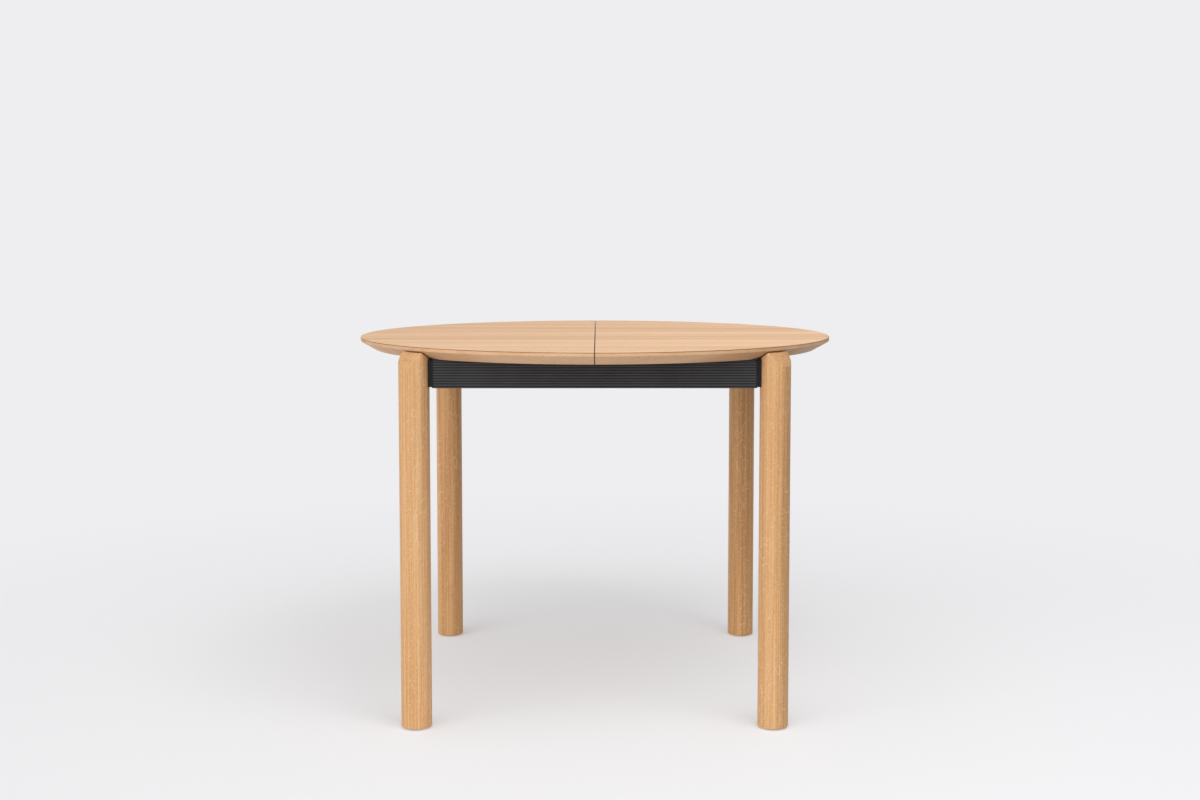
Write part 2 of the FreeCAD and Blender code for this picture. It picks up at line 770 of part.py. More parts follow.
def rail_screw_places(row):
    """Head seats of every screw in the inner wall of a sliding rail."""
    return strap_screw_places(row) + (gear_tab_screw_places() if row == REAR else [])


def gear_bracket():
    """Plate on the rear rail with a boss for the axle and a guide behind each rack."""
    ends = (-gear_plate_width / 2, gear_plate_width / 2)
    guide_ends = (-rack_guide_length / 2, rack_guide_length / 2)
    floor_z = gear_plate_top_z - plate
    floor = box(ends, (gear_plate_edge, rail_inner), (floor_z, gear_plate_top_z))
    tab = box(ends, (rail_inner - plate, rail_inner), (floor_z, gear_plate_top_z + gear_tab_height))
    boss = Part.makeCylinder(gear_boss_radius, gear_boss_height, Vector(0, gear_y, gear_plate_top_z))
    heights = (gear_plate_top_z, gear_top_z)
    guides = [
        box(guide_ends, (gear_y + sign * guide_y, gear_y + sign * (guide_y + plate)), heights)
        for sign in (-1, 1)
    ]
    bracket = join(floor, tab, boss, *guides)
    start = Vector(0, gear_y, floor_z)
    tools = [Part.makeCylinder(gear_axle_radius + fit_gap, plate + gear_boss_height, start)]
    tools += [screw_hole(place, Vector(0, 1, 0), plate) for place in gear_tab_screw_places()]
    return cut_all(bracket, tools)


def rack_screw_places(side):
    """Head seats of the two screws in the foot of a rack, above and below its bar."""
    y = gear_y - side * rack_bar_middle
    x = side * (rail_inner - rack_foot_thickness)
    offset = gear_width / 2 + rack_foot_margin / 2
    middle = (gear_bottom_z + gear_top_z) / 2
    return [Vector(x, y, middle - offset), Vector(x, y, middle + offset)]


def rack(side):
    """Toothed bar with a foot on the end rail of its half."""
    half = tooth_pitch / 4 - gear_flank_gap
    lean = math.tan(math.radians(gear_pressure_angle))
    tip_half = half - gear_module * lean
    root_half = half + tooth_root * lean
    shift = tooth_pitch / 2 if side == LEFT or gear_teeth % 2 == 0 else 0.0
    foot_x = -(rail_inner - rack_foot_thickness)
    outline = [(foot_x, tooth_root + rack_back), (foot_x, tooth_root)]
    first = -int(rack_run_out / tooth_pitch)
    last = int((rack_tip - shift - tooth_pitch / 2) / tooth_pitch)
    for index in range(first, last + 1):
        middle = index * tooth_pitch + shift
        outline += [(middle - root_half, tooth_root), (middle - tip_half, -gear_module),
                    (middle + tip_half, -gear_module), (middle + root_half, tooth_root)]
    outline += [(rack_tip, tooth_root), (rack_tip, tooth_root + rack_back)]
    points = [Vector(-side * x, gear_y - side * (gear_radius + out), gear_bottom_z) for x, out in outline]
    toothed = prism(points, Z * gear_width)
    foot_y = gear_y - side * rack_bar_middle
    foot = box((side * rail_inner, side * (rail_inner - rack_foot_thickness)),
               (foot_y - rack_foot_width / 2, foot_y + rack_foot_width / 2),
               (gear_bottom_z - rack_foot_margin, gear_top_z + rack_foot_margin))
    holes = [screw_hole(place, Vector(side, 0, 0), rack_foot_thickness) for place in rack_screw_places(side)]
    return cut_all(join(toothed, foot), holes)


# Lock bolts


def screw_wells(places):
    """Wells that let screw heads up into a block under the top."""
    return [Part.makeCylinder(well_radius, lock_height, place, -Z) for place in places]


def lock_housing(row):
    """Block under the left half that a lock bolt slides in."""
    middle = row * lock_y
    across = (middle - lock_width / 2, middle + lock_width / 2)
    block = box((-lock_end, -lock_set_back), across, (lock_bottom_z, underside_z))
    bore_start = Vector(-lock_end, middle, lock_axis_z)
    bore = Part.makeCylinder(lock_bolt_radius + lock_bolt_gap, lock_length, bore_start, X)
    room = lock_knob_radius + lock_bolt_gap
    slot = box((lock_knob_x - room, lock_knob_x + lock_bolt_travel + room), (middle - room, middle + room),
               (lock_bottom_z, lock_axis_z))
    places = lock_screw_places(LEFT)
    return cut_all(block, [bore, slot] + screw_wells(places) + wood_screw_holes(places))


def lock_keeper(row):
    """Block under the right half that takes the tip of a lock bolt."""
    middle = row * lock_y
    across = (middle - lock_width / 2, middle + lock_width / 2)
    block = box((lock_set_back, lock_set_back + keeper_length), across, (lock_bottom_z, underside_z))
    bore_start = Vector(lock_set_back, middle, lock_axis_z)
    bore = Part.makeCylinder(lock_bolt_radius + lock_bolt_gap, keeper_length, bore_start, X)
    places = lock_screw_places(RIGHT)
    return cut_all(block, [bore] + screw_wells(places) + wood_screw_holes(places))


def lock_bolt(row):
    """Round bolt with a finger knob, drawn back clear of the seam."""
    middle = row * lock_y
    rear_end = Vector(-lock_end, middle, lock_axis_z)
    shaft = Part.makeCylinder(lock_bolt_radius, lock_length - lock_set_back, rear_end, X)
    knob_length = lock_axis_z - lock_bottom_z + lock_knob_reach
    knob_top = Vector(lock_knob_x, middle, lock_axis_z)
    return join(shaft, Part.makeCylinder(lock_knob_radius, knob_length, knob_top, -Z))


# Assembly


def build_centre_frame():
    """Sliding rails, stored leaf and gear carrier, which stay in the middle."""
    for row, name in ROW_NAMES.items():
        save(name + "_rail", sliding_rail(row))
        save(name + "_rail_caps", *[rail_cap(side, row) for side in SIDE_NAMES])
        save(name + "_rail_buttons", *[glide_button(place) for place in button_places(row)])
    for side, middle in STRAP_X.items():
        save(SIDE_NAMES[side] + "_leaf_strap", leaf_strap(middle))
    save("leaf_pads", *[leaf_pad(middle, end) for middle in STRAP_X.values() for end in (FRONT, REAR)])
    for name, fold_side in {"lower": -1, "upper": 1}.items():
        save(name + "_leaf_panel", leaf_panel(fold_side))
        save(name + "_hinge_plates", *[hinge_leaf(fold_side, middle) for middle in HINGE_X])
    save("hinge_pins", *[hinge_pin(middle) for middle in HINGE_X])
    screw_places = hinge_screw_places(-1) + hinge_screw_places(1)
    save("hinge_screws", *[hinge_screw(place) for place in screw_places])
    save("gear_bracket", gear_bracket())
    save("gear_axle", gear_axle())
    save("sync_gear", sync_gear())
    frame_screws = [
        screw(place, Vector(0, row, 0), plate + wall_grip)
        for row in ROW_NAMES
        for place in rail_screw_places(row)
    ]
    save("frame_screws", *frame_screws)


def build_half(disc, side):
    """Everything that slides with one half of the top."""
    half = SIDE_NAMES[side]
    save(half + "_top", top_half(disc, side))
    save(half + "_end_rail", end_rail(side))
    for row, name in ROW_NAMES.items():
        corner = name + "_" + half
        save(corner + "_leg", leg(side, row))
        save(corner + "_corner_block", corner_block(side, row))
        save(corner + "_runner", runner(side, row))
    save(half + "_runner_shoes", *[runner_shoe(side, row) for row in ROW_NAMES])
    save(half + "_foot_glides", *[foot_glide(side, row) for row in ROW_NAMES])
    save(half + "_leg_bolts", *[leg_bolt(side, row, z) for row in ROW_NAMES for z in LEG_BOLT_Z])
    save(half + "_leg_inserts", *[leg_insert(side, row, z) for row in ROW_NAMES for z in LEG_BOLT_Z])
    save(half + "_top_brackets", *[top_bracket(side, y) for y in BRACKET_Y])
    save(half + "_rack", rack(side))
    save(half + "_top_screws", *wood_screws(bracket_screw_places(side) + lock_screw_places(side)))
    into_wall = Vector(side, 0, 0)
    foot_screw = rack_foot_thickness + wall_grip
    tab_screws = [screw(place, into_wall, plate + wall_grip) for place in tab_screw_places(side)]
    foot_screws = [screw(place, into_wall, foot_screw) for place in rack_screw_places(side)]
    save(half + "_rail_screws", *tab_screws, *foot_screws)


def build_locks():
    """Seam pins and lock bolts with what takes them."""
    save("seam_pins", *[seam_pin(y) for y in PIN_Y])
    save("seam_sockets", *[seam_socket(y) for y in PIN_Y])
    save("lock_keepers", *[lock_keeper(row) for row in ROW_NAMES])
    for row, name in ROW_NAMES.items():
        save(name + "_lock_housing", lock_housing(row))
        save(name + "_lock_bolt", lock_bolt(row))


os.makedirs("parts", exist_ok=True)
build_centre_frame()
whole_top = top_disc()
for table_side in SIDE_NAMES:
    build_half(whole_top, table_side)
build_locks()
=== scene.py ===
"""Round extending dining table: finishes, turned details, floor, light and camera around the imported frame."""

import json
import logging
import math
from abc import ABC, abstractmethod
from dataclasses import dataclass, replace
from enum import Enum

import bmesh
import bpy
from mathutils import Euler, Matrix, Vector


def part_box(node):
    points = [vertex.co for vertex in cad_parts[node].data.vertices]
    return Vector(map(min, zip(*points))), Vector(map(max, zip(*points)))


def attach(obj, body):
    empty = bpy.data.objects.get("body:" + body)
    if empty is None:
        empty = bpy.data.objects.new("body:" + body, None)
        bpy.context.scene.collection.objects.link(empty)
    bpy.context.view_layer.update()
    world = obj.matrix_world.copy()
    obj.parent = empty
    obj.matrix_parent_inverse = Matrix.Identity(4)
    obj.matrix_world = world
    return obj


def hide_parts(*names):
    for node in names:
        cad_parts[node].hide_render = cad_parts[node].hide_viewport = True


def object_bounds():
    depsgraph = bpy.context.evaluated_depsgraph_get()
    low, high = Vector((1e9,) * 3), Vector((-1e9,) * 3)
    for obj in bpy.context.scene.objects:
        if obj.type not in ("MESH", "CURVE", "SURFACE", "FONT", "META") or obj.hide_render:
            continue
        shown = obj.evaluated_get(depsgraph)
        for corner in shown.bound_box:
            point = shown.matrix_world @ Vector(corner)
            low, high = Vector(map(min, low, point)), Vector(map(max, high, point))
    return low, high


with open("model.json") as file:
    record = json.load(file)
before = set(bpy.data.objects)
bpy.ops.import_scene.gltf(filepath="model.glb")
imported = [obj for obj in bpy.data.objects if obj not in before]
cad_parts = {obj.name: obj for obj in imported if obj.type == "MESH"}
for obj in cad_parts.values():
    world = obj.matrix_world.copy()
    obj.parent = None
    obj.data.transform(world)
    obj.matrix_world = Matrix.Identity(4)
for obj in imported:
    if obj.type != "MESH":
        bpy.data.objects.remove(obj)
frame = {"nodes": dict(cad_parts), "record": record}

LOG = logging.getLogger("table")
CAD_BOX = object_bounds()
MM = 0.001
WELD = 0.001 * MM
TURN_SIDES = 36
ROUND_STEPS = 4
DRIVE_LOBES = 6
# Blender's noise lies mostly between these levels.
NOISE_LOW = 0.3
NOISE_HIGH = 0.7
SHARP_ANGLE = math.radians(38)
SIDES = ("left", "right")
ROWS = ("front", "rear")
ALONG_X = Vector((1, 0, 0))
ALONG_Y = Vector((0, 1, 0))
UPWARD = Vector((0, 0, 1))


class Axis(Enum):
    """The axes that grain, drawing lines and masks follow."""

    X = 0
    Z = 2


class Slot(Enum):
    """The finishes of the table, by the record's names."""

    OAK_VENEER = "oak_veneer"
    OAK_SOLID = "oak_solid"
    BLACK_ANODISED = "black_anodised"
    BLACK_CAST = "black_cast"
    BARE_ALUMINIUM = "bare_aluminium"
    BLACK_PLASTIC = "black_plastic"
    WHITE_PLASTIC = "white_plastic"
    BLACK_RUBBER = "black_rubber"
    BRASS = "brass"
    ZINC_STEEL = "zinc_steel"


class Driven(Enum):
    """The way that a group of screws is driven."""

    UP = "into the top"
    SIDEWAYS = "away from the middle along X"
    ACROSS = "away from the middle along Y"
    BACKWARD = "towards the rear"

    def way(self, place: Vector) -> Vector:
        """Finds the way of one screw.

        Args:
            place: The middle of the screw.

        Returns:
            The unit vector from its head to its tip.
        """
        if self is Driven.UP:
            return UPWARD
        if self is Driven.SIDEWAYS:
            return ALONG_X * math.copysign(1, place.x)
        if self is Driven.ACROSS:
            return ALONG_Y * math.copysign(1, place.y)
        return ALONG_Y


def linear(code: str) -> tuple[float, float, float, float]:
    """Turns an sRGB hex colour into a linear one.

    Args:
        code: The colour as six hex digits after a hash.

    Returns:
        Red, green, blue and full alpha, in linear light.
    """
    parts = [int(code[i:i + 2], 16) / 255 for i in (1, 3, 5)]
    return (*(p / 12.92 if p <= 0.04045 else ((p + 0.055) / 1.055) ** 2.4 for p in parts), 1.0)


def add(tree: bpy.types.NodeTree, kind: str, settings: dict | None = None,
        stops: tuple[tuple[float, str], ...] = (), **links: bpy.types.NodeSocket) -> bpy.types.Node:
    """Adds a node with its settings and links.

    Args:
        tree: The node tree that takes the node.
        kind: The node's type name, without the word ShaderNode.
        settings: Values for the node's own properties, or else for its input sockets, by name or number. A
            Mix of colours has its factor at 0 and its colours at 6 and 7, and gives output 2.
        stops: For a colour ramp, its positions with their sRGB hex colours, from low to high.
        links: Output sockets for the node's inputs; in0, in1 and so on stand for an input's number.

    Returns:
        The new node.
    """
    node = tree.nodes.new("ShaderNode" + kind)
    for key, value in (settings or {}).items():
        if isinstance(key, str) and hasattr(node, key):
            setattr(node, key, value)
        else:
            node.inputs[key].default_value = value
    if stops:
        elements = node.color_ramp.elements
        while len(elements) < len(stops):
            elements.new(0.5)
        for element, (position, code) in zip(elements, stops):
            element.position = position
            element.color = linear(code)
    for key, socket in links.items():
        tree.links.new(socket, node.inputs[int(key[2:]) if key.startswith("in") else key.replace("_", " ")])
    return node


def new_material(name: str) -> tuple[bpy.types.Material, bpy.types.NodeTree, bpy.types.Node]:
    """Makes an empty material.

    Args:
        name: The material's name.

    Returns:
        The material, its node tree and its main shader.
    """
    material = bpy.data.materials.new(name)
    material.use_nodes = True
    return material, material.node_tree, material.node_tree.nodes["Principled BSDF"]


def stretched(axis: Axis, along: float, across: float) -> tuple[float, float, float]:
    """Works out how a pattern is scaled to run along one axis.

    Args:
        axis: The way that the pattern runs.
        along: The length of its features, in metres.
        across: The width of its features, in metres.

    Returns:
        The scale of each axis, in features for each metre.
    """
    return tuple(1 / (along if i == axis.value else across) for i in range(3))


def placed(tree: bpy.types.NodeTree, axis: Axis) -> bpy.types.NodeSocket:
    """Finds the place of each point along an axis, in metres."""
    place = add(tree, "TexCoord").outputs["Object"]
    return add(tree, "SeparateXYZ", None, Vector=place).outputs[axis.name]


def facing(tree: bpy.types.NodeTree, axis: Axis) -> bpy.types.NodeSocket:
    """Finds how far each face looks along an axis, from minus one to one."""
    normal = add(tree, "NewGeometry").outputs["Normal"]
    return add(tree, "SeparateXYZ", None, Vector=normal).outputs[axis.name]


@dataclass(frozen=True, kw_only=True)
class Finish(ABC):
    """A surface, by what it is made of and how it was made."""

    name: str
    roughness: float
    # What the roughness gains at the low and at the high levels of its texture.
    low_gain: float
    high_gain: float
    relief: float
    relief_strength: float

    @abstractmethod
    def build(self) -> bpy.types.Material:
        """Makes the material."""

    def surface(self, tree: bpy.types.NodeTree, shader: bpy.types.Node, colour: bpy.types.NodeSocket,
                texture: bpy.types.NodeSocket, height: bpy.types.NodeSocket) -> None:
        """Gives the shader its colour, roughness and relief.

        Args:
            tree: The material's node tree.
            shader: The material's main shader.
            colour: The colour of each point.
            texture: The pattern that the roughness follows.
            height: The pattern that the relief follows.
        """
        rough = add(tree, "MapRange", {"From Min": NOISE_LOW, "From Max": NOISE_HIGH,
                                       "To Min": self.roughness + self.low_gain,
                                       "To Max": self.roughness + self.high_gain}, Value=texture)
        bump = add(tree, "Bump", {"Strength": self.relief_strength, "Distance": self.relief}, Height=height)
        tree.links.new(colour, shader.inputs["Base Color"])
        tree.links.new(rough.outputs[0], shader.inputs["Roughness"])
        tree.links.new(bump.outputs["Normal"], shader.inputs["Normal"])


@dataclass(frozen=True, kw_only=True)
class Oak(Finish):
    """White oak under a matt skin: long straight streaks, fine open pores and silvery ray flecks."""

    grain: Axis
    pale: str
    middle: str
    deep: str
    pore: str
    fleck: str
    board_width: float
    board_and_shade_tone: float
    board_and_shade_seed: float
    band_share: float
    fleck_share: float
    # Broad bands, streaks and fine lines, and the levels that draw the three tones of oak from them.
    band_length: float = 1600 * MM
    band_width: float = 55 * MM
    streak_length: float = 900 * MM
    streak_width: float = 9 * MM
    line_length: float = 260 * MM
    line_width: float = 2.2 * MM
    line_share: float = 0.42
    deep_level: float = 0.36
    middle_level: float = 0.5
    pale_level: float = 0.62
    wander: float = 7 * MM
    wander_length: float = 420 * MM
    wander_width: float = 130 * MM
    # A real pore is 0.3 mm wide, so it is drawn coarser to show.
    pore_length: float = 11 * MM
    pore_width: float = 0.9 * MM
    pore_start: float = 0.6
    pore_full: float = 0.74
    pore_depth: float = 0.5
    fleck_height: float = 5 * MM
    fleck_width: float = 3 * MM
    fleck_level: float = 0.74
    fleck_edge: float = 0.07
    fleck_depth: float = 0.5
    # Pale loops where a lathe cuts through a sheet of rays, in zones along the piece.
    loop_height: float = 30 * MM
    loop_width: float = 14 * MM
    loop_level: float = 0.6
    loop_half: float = 0.022
    loop_depth: float = 0.0
    zone_length: float = 240 * MM
    zone_width: float = 26 * MM
    zone_start: float = 0.48
    zone_full: float = 0.62
    # Cut ends drink more lacquer, so they turn a shade darker.
    end_grain: str = "#9A6A3C"
    end_start: float = 0.3
    end_full: float = 0.68
    end_depth: float = 0.0
    # Solid lipping, a shade browner than the veneer, on faces that look out or down; this darkening of every
    # face that looks sideways or down is partly painted shade.
    lipping_and_shade: str = "#C08C64"
    lipping_and_shade_start: float = 0.4
    lipping_and_shade_full: float = 0.0
    lipping_and_shade_depth: float = 0.32
    # A thin dark line along the rim, just below the top's edge, drawn wide enough to show.
    edge_top: float | None = None
    edge_line: str = "#8E6747"
    edge_drop: float = 1.3 * MM
    edge_half: float = 0.7 * MM
    # Painted shade on the eased edges of the seam, where the gap lies in shadow, but not on the faces that meet
    # there.
    seam_shade: str = "#735342"
    seam_shade_reach: float = 1.2 * MM
    seam_shade_eased: float = 0.8
    seam_shade_steep: float = 0.95
    roughness: float = 0.52
    low_gain: float = 0.07
    high_gain: float = -0.05
    relief: float = 0.3 * MM
    relief_strength: float = 0.12
    gloss: float = 0.3
    ior: float = 1.5

    def build(self) -> bpy.types.Material:
        """Makes the oak.

        Returns:
            The material.
        """
        material, tree, shader = new_material(self.name)
        place = self.wandering_place(tree)
        figure = self.figure(tree, place)
        tones = ((self.deep_level, self.deep), (self.middle_level, self.middle), (self.pale_level, self.pale))
        colour = add(tree, "ValToRGB", None, tones, Fac=figure).outputs["Color"]
        # Board tones; on the legs they also paint shade on the front right leg's right side.
        colour = self.board_and_shade_tones(tree, colour)
        pores = self.pattern(tree, place, self.pore_length, self.pore_width, detail=0)
        pore_mask = add(tree, "MapRange", {"From Min": self.pore_start, "From Max": self.pore_full,
                                           "To Max": self.pore_depth}, Value=pores).outputs[0]
        masks = [(pore_mask, self.pore), (self.fleck_mask(tree, place), self.fleck)]
        if self.loop_depth > 0:
            masks.append((self.loop_mask(tree, place), self.fleck))
        if self.end_depth > 0:
            masks.append((self.end_mask(tree), self.end_grain))
        if self.edge_top is not None:
            # Lipping tone, partly painted shade on faces that look sideways or down.
            masks.append((self.lipping_and_shade_mask(tree), self.lipping_and_shade))
            masks.append((self.edge_mask(tree), self.edge_line))
            # Painted shade on the eased edges along the seam.
            masks.append((self.seam_shade_mask(tree), self.seam_shade))
        for mask, code in masks:
            colour = add(tree, "Mix", {"data_type": "RGBA", 7: linear(code)}, in0=mask, in6=colour).outputs[2]
        height = add(tree, "Math", {"operation": "SUBTRACT"}, in0=figure, in1=pore_mask).outputs[0]
        self.surface(tree, shader, colour, figure, height)
        shader.inputs["IOR"].default_value = self.ior
        shader.inputs["Specular IOR Level"].default_value = self.gloss
        return material

    def wandering_place(self, tree: bpy.types.NodeTree) -> bpy.types.NodeSocket:
        """Places the grain so that it drifts a little, as it does in a real board.

        Args:
            tree: The material's node tree.

        Returns:
            The place of each point in the wood.
        """
        place = add(tree, "TexCoord").outputs["Object"]
        spread = stretched(self.grain, self.wander_length, self.wander_width)
        slow = add(tree, "Mapping", {"Scale": spread}, Vector=place)
        drift = add(tree, "TexNoise", {"Scale": 1.0, "Detail": 1.0}, Vector=slow.outputs["Vector"])
        shift = add(tree, "VectorMath", {"operation": "SCALE", "Scale": self.wander},
                    in0=drift.outputs["Color"])
        return add(tree, "VectorMath", {"operation": "ADD"}, in0=place,
                   in1=shift.outputs["Vector"]).outputs["Vector"]

    def pattern(self, tree: bpy.types.NodeTree, place: bpy.types.NodeSocket, along: float, across: float,
                detail: float) -> bpy.types.NodeSocket:
        """Adds one layer of grain.

        Args:
            tree: The material's node tree.
            place: The place of each point in the wood.
            along: The length of the layer's marks, in metres.
            across: The width of the layer's marks, in metres.
            detail: How much finer detail the layer has.

        Returns:
            The layer's strength.
        """
        spread = add(tree, "Mapping", {"Scale": stretched(self.grain, along, across)}, Vector=place)
        return add(tree, "TexNoise", {"Scale": 1.0, "Detail": detail, "Roughness": 0.6},
                   Vector=spread.outputs["Vector"]).outputs[0]

    def figure(self, tree: bpy.types.NodeTree, place: bpy.types.NodeSocket) -> bpy.types.NodeSocket:
        """Lays streaks, fine lines and broad bands over each other.

        Args:
            tree: The material's node tree.
            place: The place of each point in the wood.

        Returns:
            The figure's strength, from dark to pale wood.
        """
        streaks = self.pattern(tree, place, self.streak_length, self.streak_width, detail=3)
        lines = self.pattern(tree, place, self.line_length, self.line_width, detail=2)
        bands = self.pattern(tree, place, self.band_length, self.band_width, detail=2)
        fine = add(tree, "Mix", {"Factor": self.line_share}, in2=streaks, in3=lines).outputs[0]
        return add(tree, "Mix", {"Factor": self.band_share}, in2=fine, in3=bands).outputs[0]

    def board_and_shade_tones(self, tree: bpy.types.NodeTree, colour: bpy.types.NodeSocket) -> bpy.types.NodeSocket:
        """Gives each board or leaf of veneer a tone of its own; on the legs these tones also stand in as
        painted shade.

        Args:
            tree: The material's node tree.
            colour: The oak's colour before this.

        Returns:
            The colour with its tones.
        """
        place = add(tree, "TexCoord").outputs["Object"]
        boards = add(tree, "VectorMath", {"operation": "SCALE", "Scale": 1 / self.board_width}, in0=place)
        across = add(tree, "SeparateXYZ", None, Vector=boards.outputs["Vector"])
        side = across.outputs["Y"] if self.grain is Axis.X else across.outputs["X"]
        number = add(tree, "Math", {"operation": "FLOOR"}, in0=side).outputs[0]
        drawn = add(tree, "Math", {"operation": "ADD", 1: self.board_and_shade_seed}, in0=number).outputs[0]
        chance = add(tree, "TexWhiteNoise", {"noise_dimensions": "1D"}, W=drawn).outputs["Value"]
        value = add(tree, "MapRange", {"To Min": 1 - self.board_and_shade_tone, "To Max": 1 + self.board_and_shade_tone},
                    Value=chance).outputs[0]
        return add(tree, "HueSaturation", None, Value=value, Color=colour).outputs["Color"]

    def fleck_mask(self, tree: bpy.types.NodeTree, place: bpy.types.NodeSocket) -> bpy.types.NodeSocket:
        """Finds the flecks where rays come to the surface.

        Args:
            tree: The material's node tree.
            place: The place of each point in the wood.

        Returns:
            The mask, strong on the flecks.
        """
        flecks = self.pattern(tree, place, self.fleck_height, self.fleck_width, detail=1)
        start = self.fleck_level - self.fleck_share
        return add(tree, "MapRange", {"From Min": start, "From Max": start + self.fleck_edge,
                                      "To Max": self.fleck_depth}, Value=flecks).outputs[0]

    def loop_mask(self, tree: bpy.types.NodeTree, place: bpy.types.NodeSocket) -> bpy.types.NodeSocket:
        """Finds the pale loops of the rays.

        Args:
            tree: The material's node tree.
            place: The place of each point in the wood.

        Returns:
            The mask, strong along the loops.
        """
        height = self.pattern(tree, place, self.loop_height, self.loop_width, detail=0)
        loops = add(tree, "Math", {"operation": "COMPARE", 1: self.loop_level, 2: self.loop_half},
                    in0=height).outputs[0]
        zones = self.pattern(tree, place, self.zone_length, self.zone_width, detail=0)
        depth = add(tree, "MapRange", {"From Min": self.zone_start, "From Max": self.zone_full,
                                       "To Max": self.loop_depth}, Value=zones).outputs[0]
        return add(tree, "Math", {"operation": "MULTIPLY"}, in0=loops, in1=depth).outputs[0]

    def end_mask(self, tree: bpy.types.NodeTree) -> bpy.types.NodeSocket:
        """Finds the cut ends of the wood, which look up."""
        return add(tree, "MapRange", {"From Min": self.end_start, "From Max": self.end_full,
                                      "To Max": self.end_depth}, Value=facing(tree, Axis.Z)).outputs[0]

    def lipping_and_shade_mask(self, tree: bpy.types.NodeTree) -> bpy.types.NodeSocket:
        """Finds the lipping and its painted shade, on faces that look out or down."""
        return add(tree, "MapRange", {"From Min": self.lipping_and_shade_start, "From Max": self.lipping_and_shade_full,
                                      "To Max": self.lipping_and_shade_depth}, Value=facing(tree, Axis.Z)).outputs[0]

    def edge_mask(self, tree: bpy.types.NodeTree) -> bpy.types.NodeSocket:
        """Finds a thin band along the rim, just below the top's edge.

        Args:
            tree: The material's node tree.

        Returns:
            The mask, strong along the edge of the top.
        """
        middle = self.edge_top - self.edge_drop
        return add(tree, "Math", {"operation": "COMPARE", 1: middle, 2: self.edge_half},
                   in0=placed(tree, Axis.Z)).outputs[0]

    def seam_shade_mask(self, tree: bpy.types.NodeTree) -> bpy.types.NodeSocket:
        """Finds the eased edges along the seam, where shade is painted.

        Args:
            tree: The material's node tree.

        Returns:
            The mask, strong along the seam but not on the faces that meet there.
        """
        near = add(tree, "Math", {"operation": "COMPARE", 1: 0.0, 2: self.seam_shade_reach},
                   in0=placed(tree, Axis.X)).outputs[0]
        steep = add(tree, "Math", {"operation": "ABSOLUTE"}, in0=facing(tree, Axis.X)).outputs[0]
        eased = add(tree, "MapRange", {"From Min": self.seam_shade_steep, "From Max": self.seam_shade_eased},
                    Value=steep).outputs[0]
        return add(tree, "Math", {"operation": "MULTIPLY"}, in0=near, in1=eased).outputs[0]


@dataclass(frozen=True, kw_only=True)
class Coated(Finish):
    """A dark or pale skin over a shaped piece: anodised, powder coated, moulded or rubber."""

    low: str
    high: str
    grit: float
    ior: float = 1.5
    gloss: float = 0.5
    run: Axis | None = None
    run_length: float = 250 * MM
    cloud: float = 60 * MM
    low_level: float = 0.35
    high_level: float = 0.65
    low_gain: float = -0.06
    high_gain: float = 0.06
    relief_strength: float = 0.25
    # Painted shade: the grooves between the ribs are drawn darker than the lands.
    rib_pitch: float | None = None
    rib_middle: float = 0.0
    groove_shade: str = "#08080A"
    groove_shade_start: float = 0.22
    groove_shade_full: float = 0.34
    groove_shade_depth: float = 0.9

    def build(self) -> bpy.types.Material:
        """Makes the coating, with a fine grit or drawing lines and a slow change of tone.

        Returns:
            The material.
        """
        material, tree, shader = new_material(self.name)
        place = add(tree, "TexCoord").outputs["Object"]
        slow = add(tree, "TexNoise", {"Scale": 1 / self.cloud, "Detail": 3.0}, Vector=place).outputs[0]
        tones = ((self.low_level, self.low), (self.high_level, self.high))
        colour = add(tree, "ValToRGB", None, tones, Fac=slow).outputs["Color"]
        # Painted shade in the grooves between the ribs.
        if self.rib_pitch is not None:
            colour = add(tree, "Mix", {"data_type": "RGBA", 7: linear(self.groove_shade)}, in0=self.groove_shade_mask(tree),
                         in6=colour).outputs[2]
        length = self.grit if self.run is None else self.run_length
        spread = add(tree, "Mapping", {"Scale": stretched(self.run or Axis.X, length, self.grit)},
                     Vector=place)
        grit = add(tree, "TexNoise", {"Scale": 1.0, "Detail": 2.0},
                   Vector=spread.outputs["Vector"]).outputs[0]
        self.surface(tree, shader, colour, grit, grit)
        shader.inputs["IOR"].default_value = self.ior
        shader.inputs["Specular IOR Level"].default_value = self.gloss
        return material

    def groove_shade_mask(self, tree: bpy.types.NodeTree) -> bpy.types.NodeSocket:
        """Finds the grooves between the ribs, where shade is painted.

        Args:
            tree: The material's node tree.

        Returns:
            The mask, strong in the grooves.
        """
        rise = add(tree, "Math", {"operation": "SUBTRACT", 1: self.rib_middle},
                   in0=placed(tree, Axis.Z)).outputs[0]
        ribs = add(tree, "Math", {"operation": "DIVIDE", 1: self.rib_pitch}, in0=rise).outputs[0]
        beside = add(tree, "Math", {"operation": "PINGPONG", 1: 0.5}, in0=ribs).outputs[0]
        return add(tree, "MapRange", {"From Min": self.groove_shade_start, "From Max": self.groove_shade_full,
                                      "To Max": self.groove_shade_depth}, Value=beside).outputs[0]


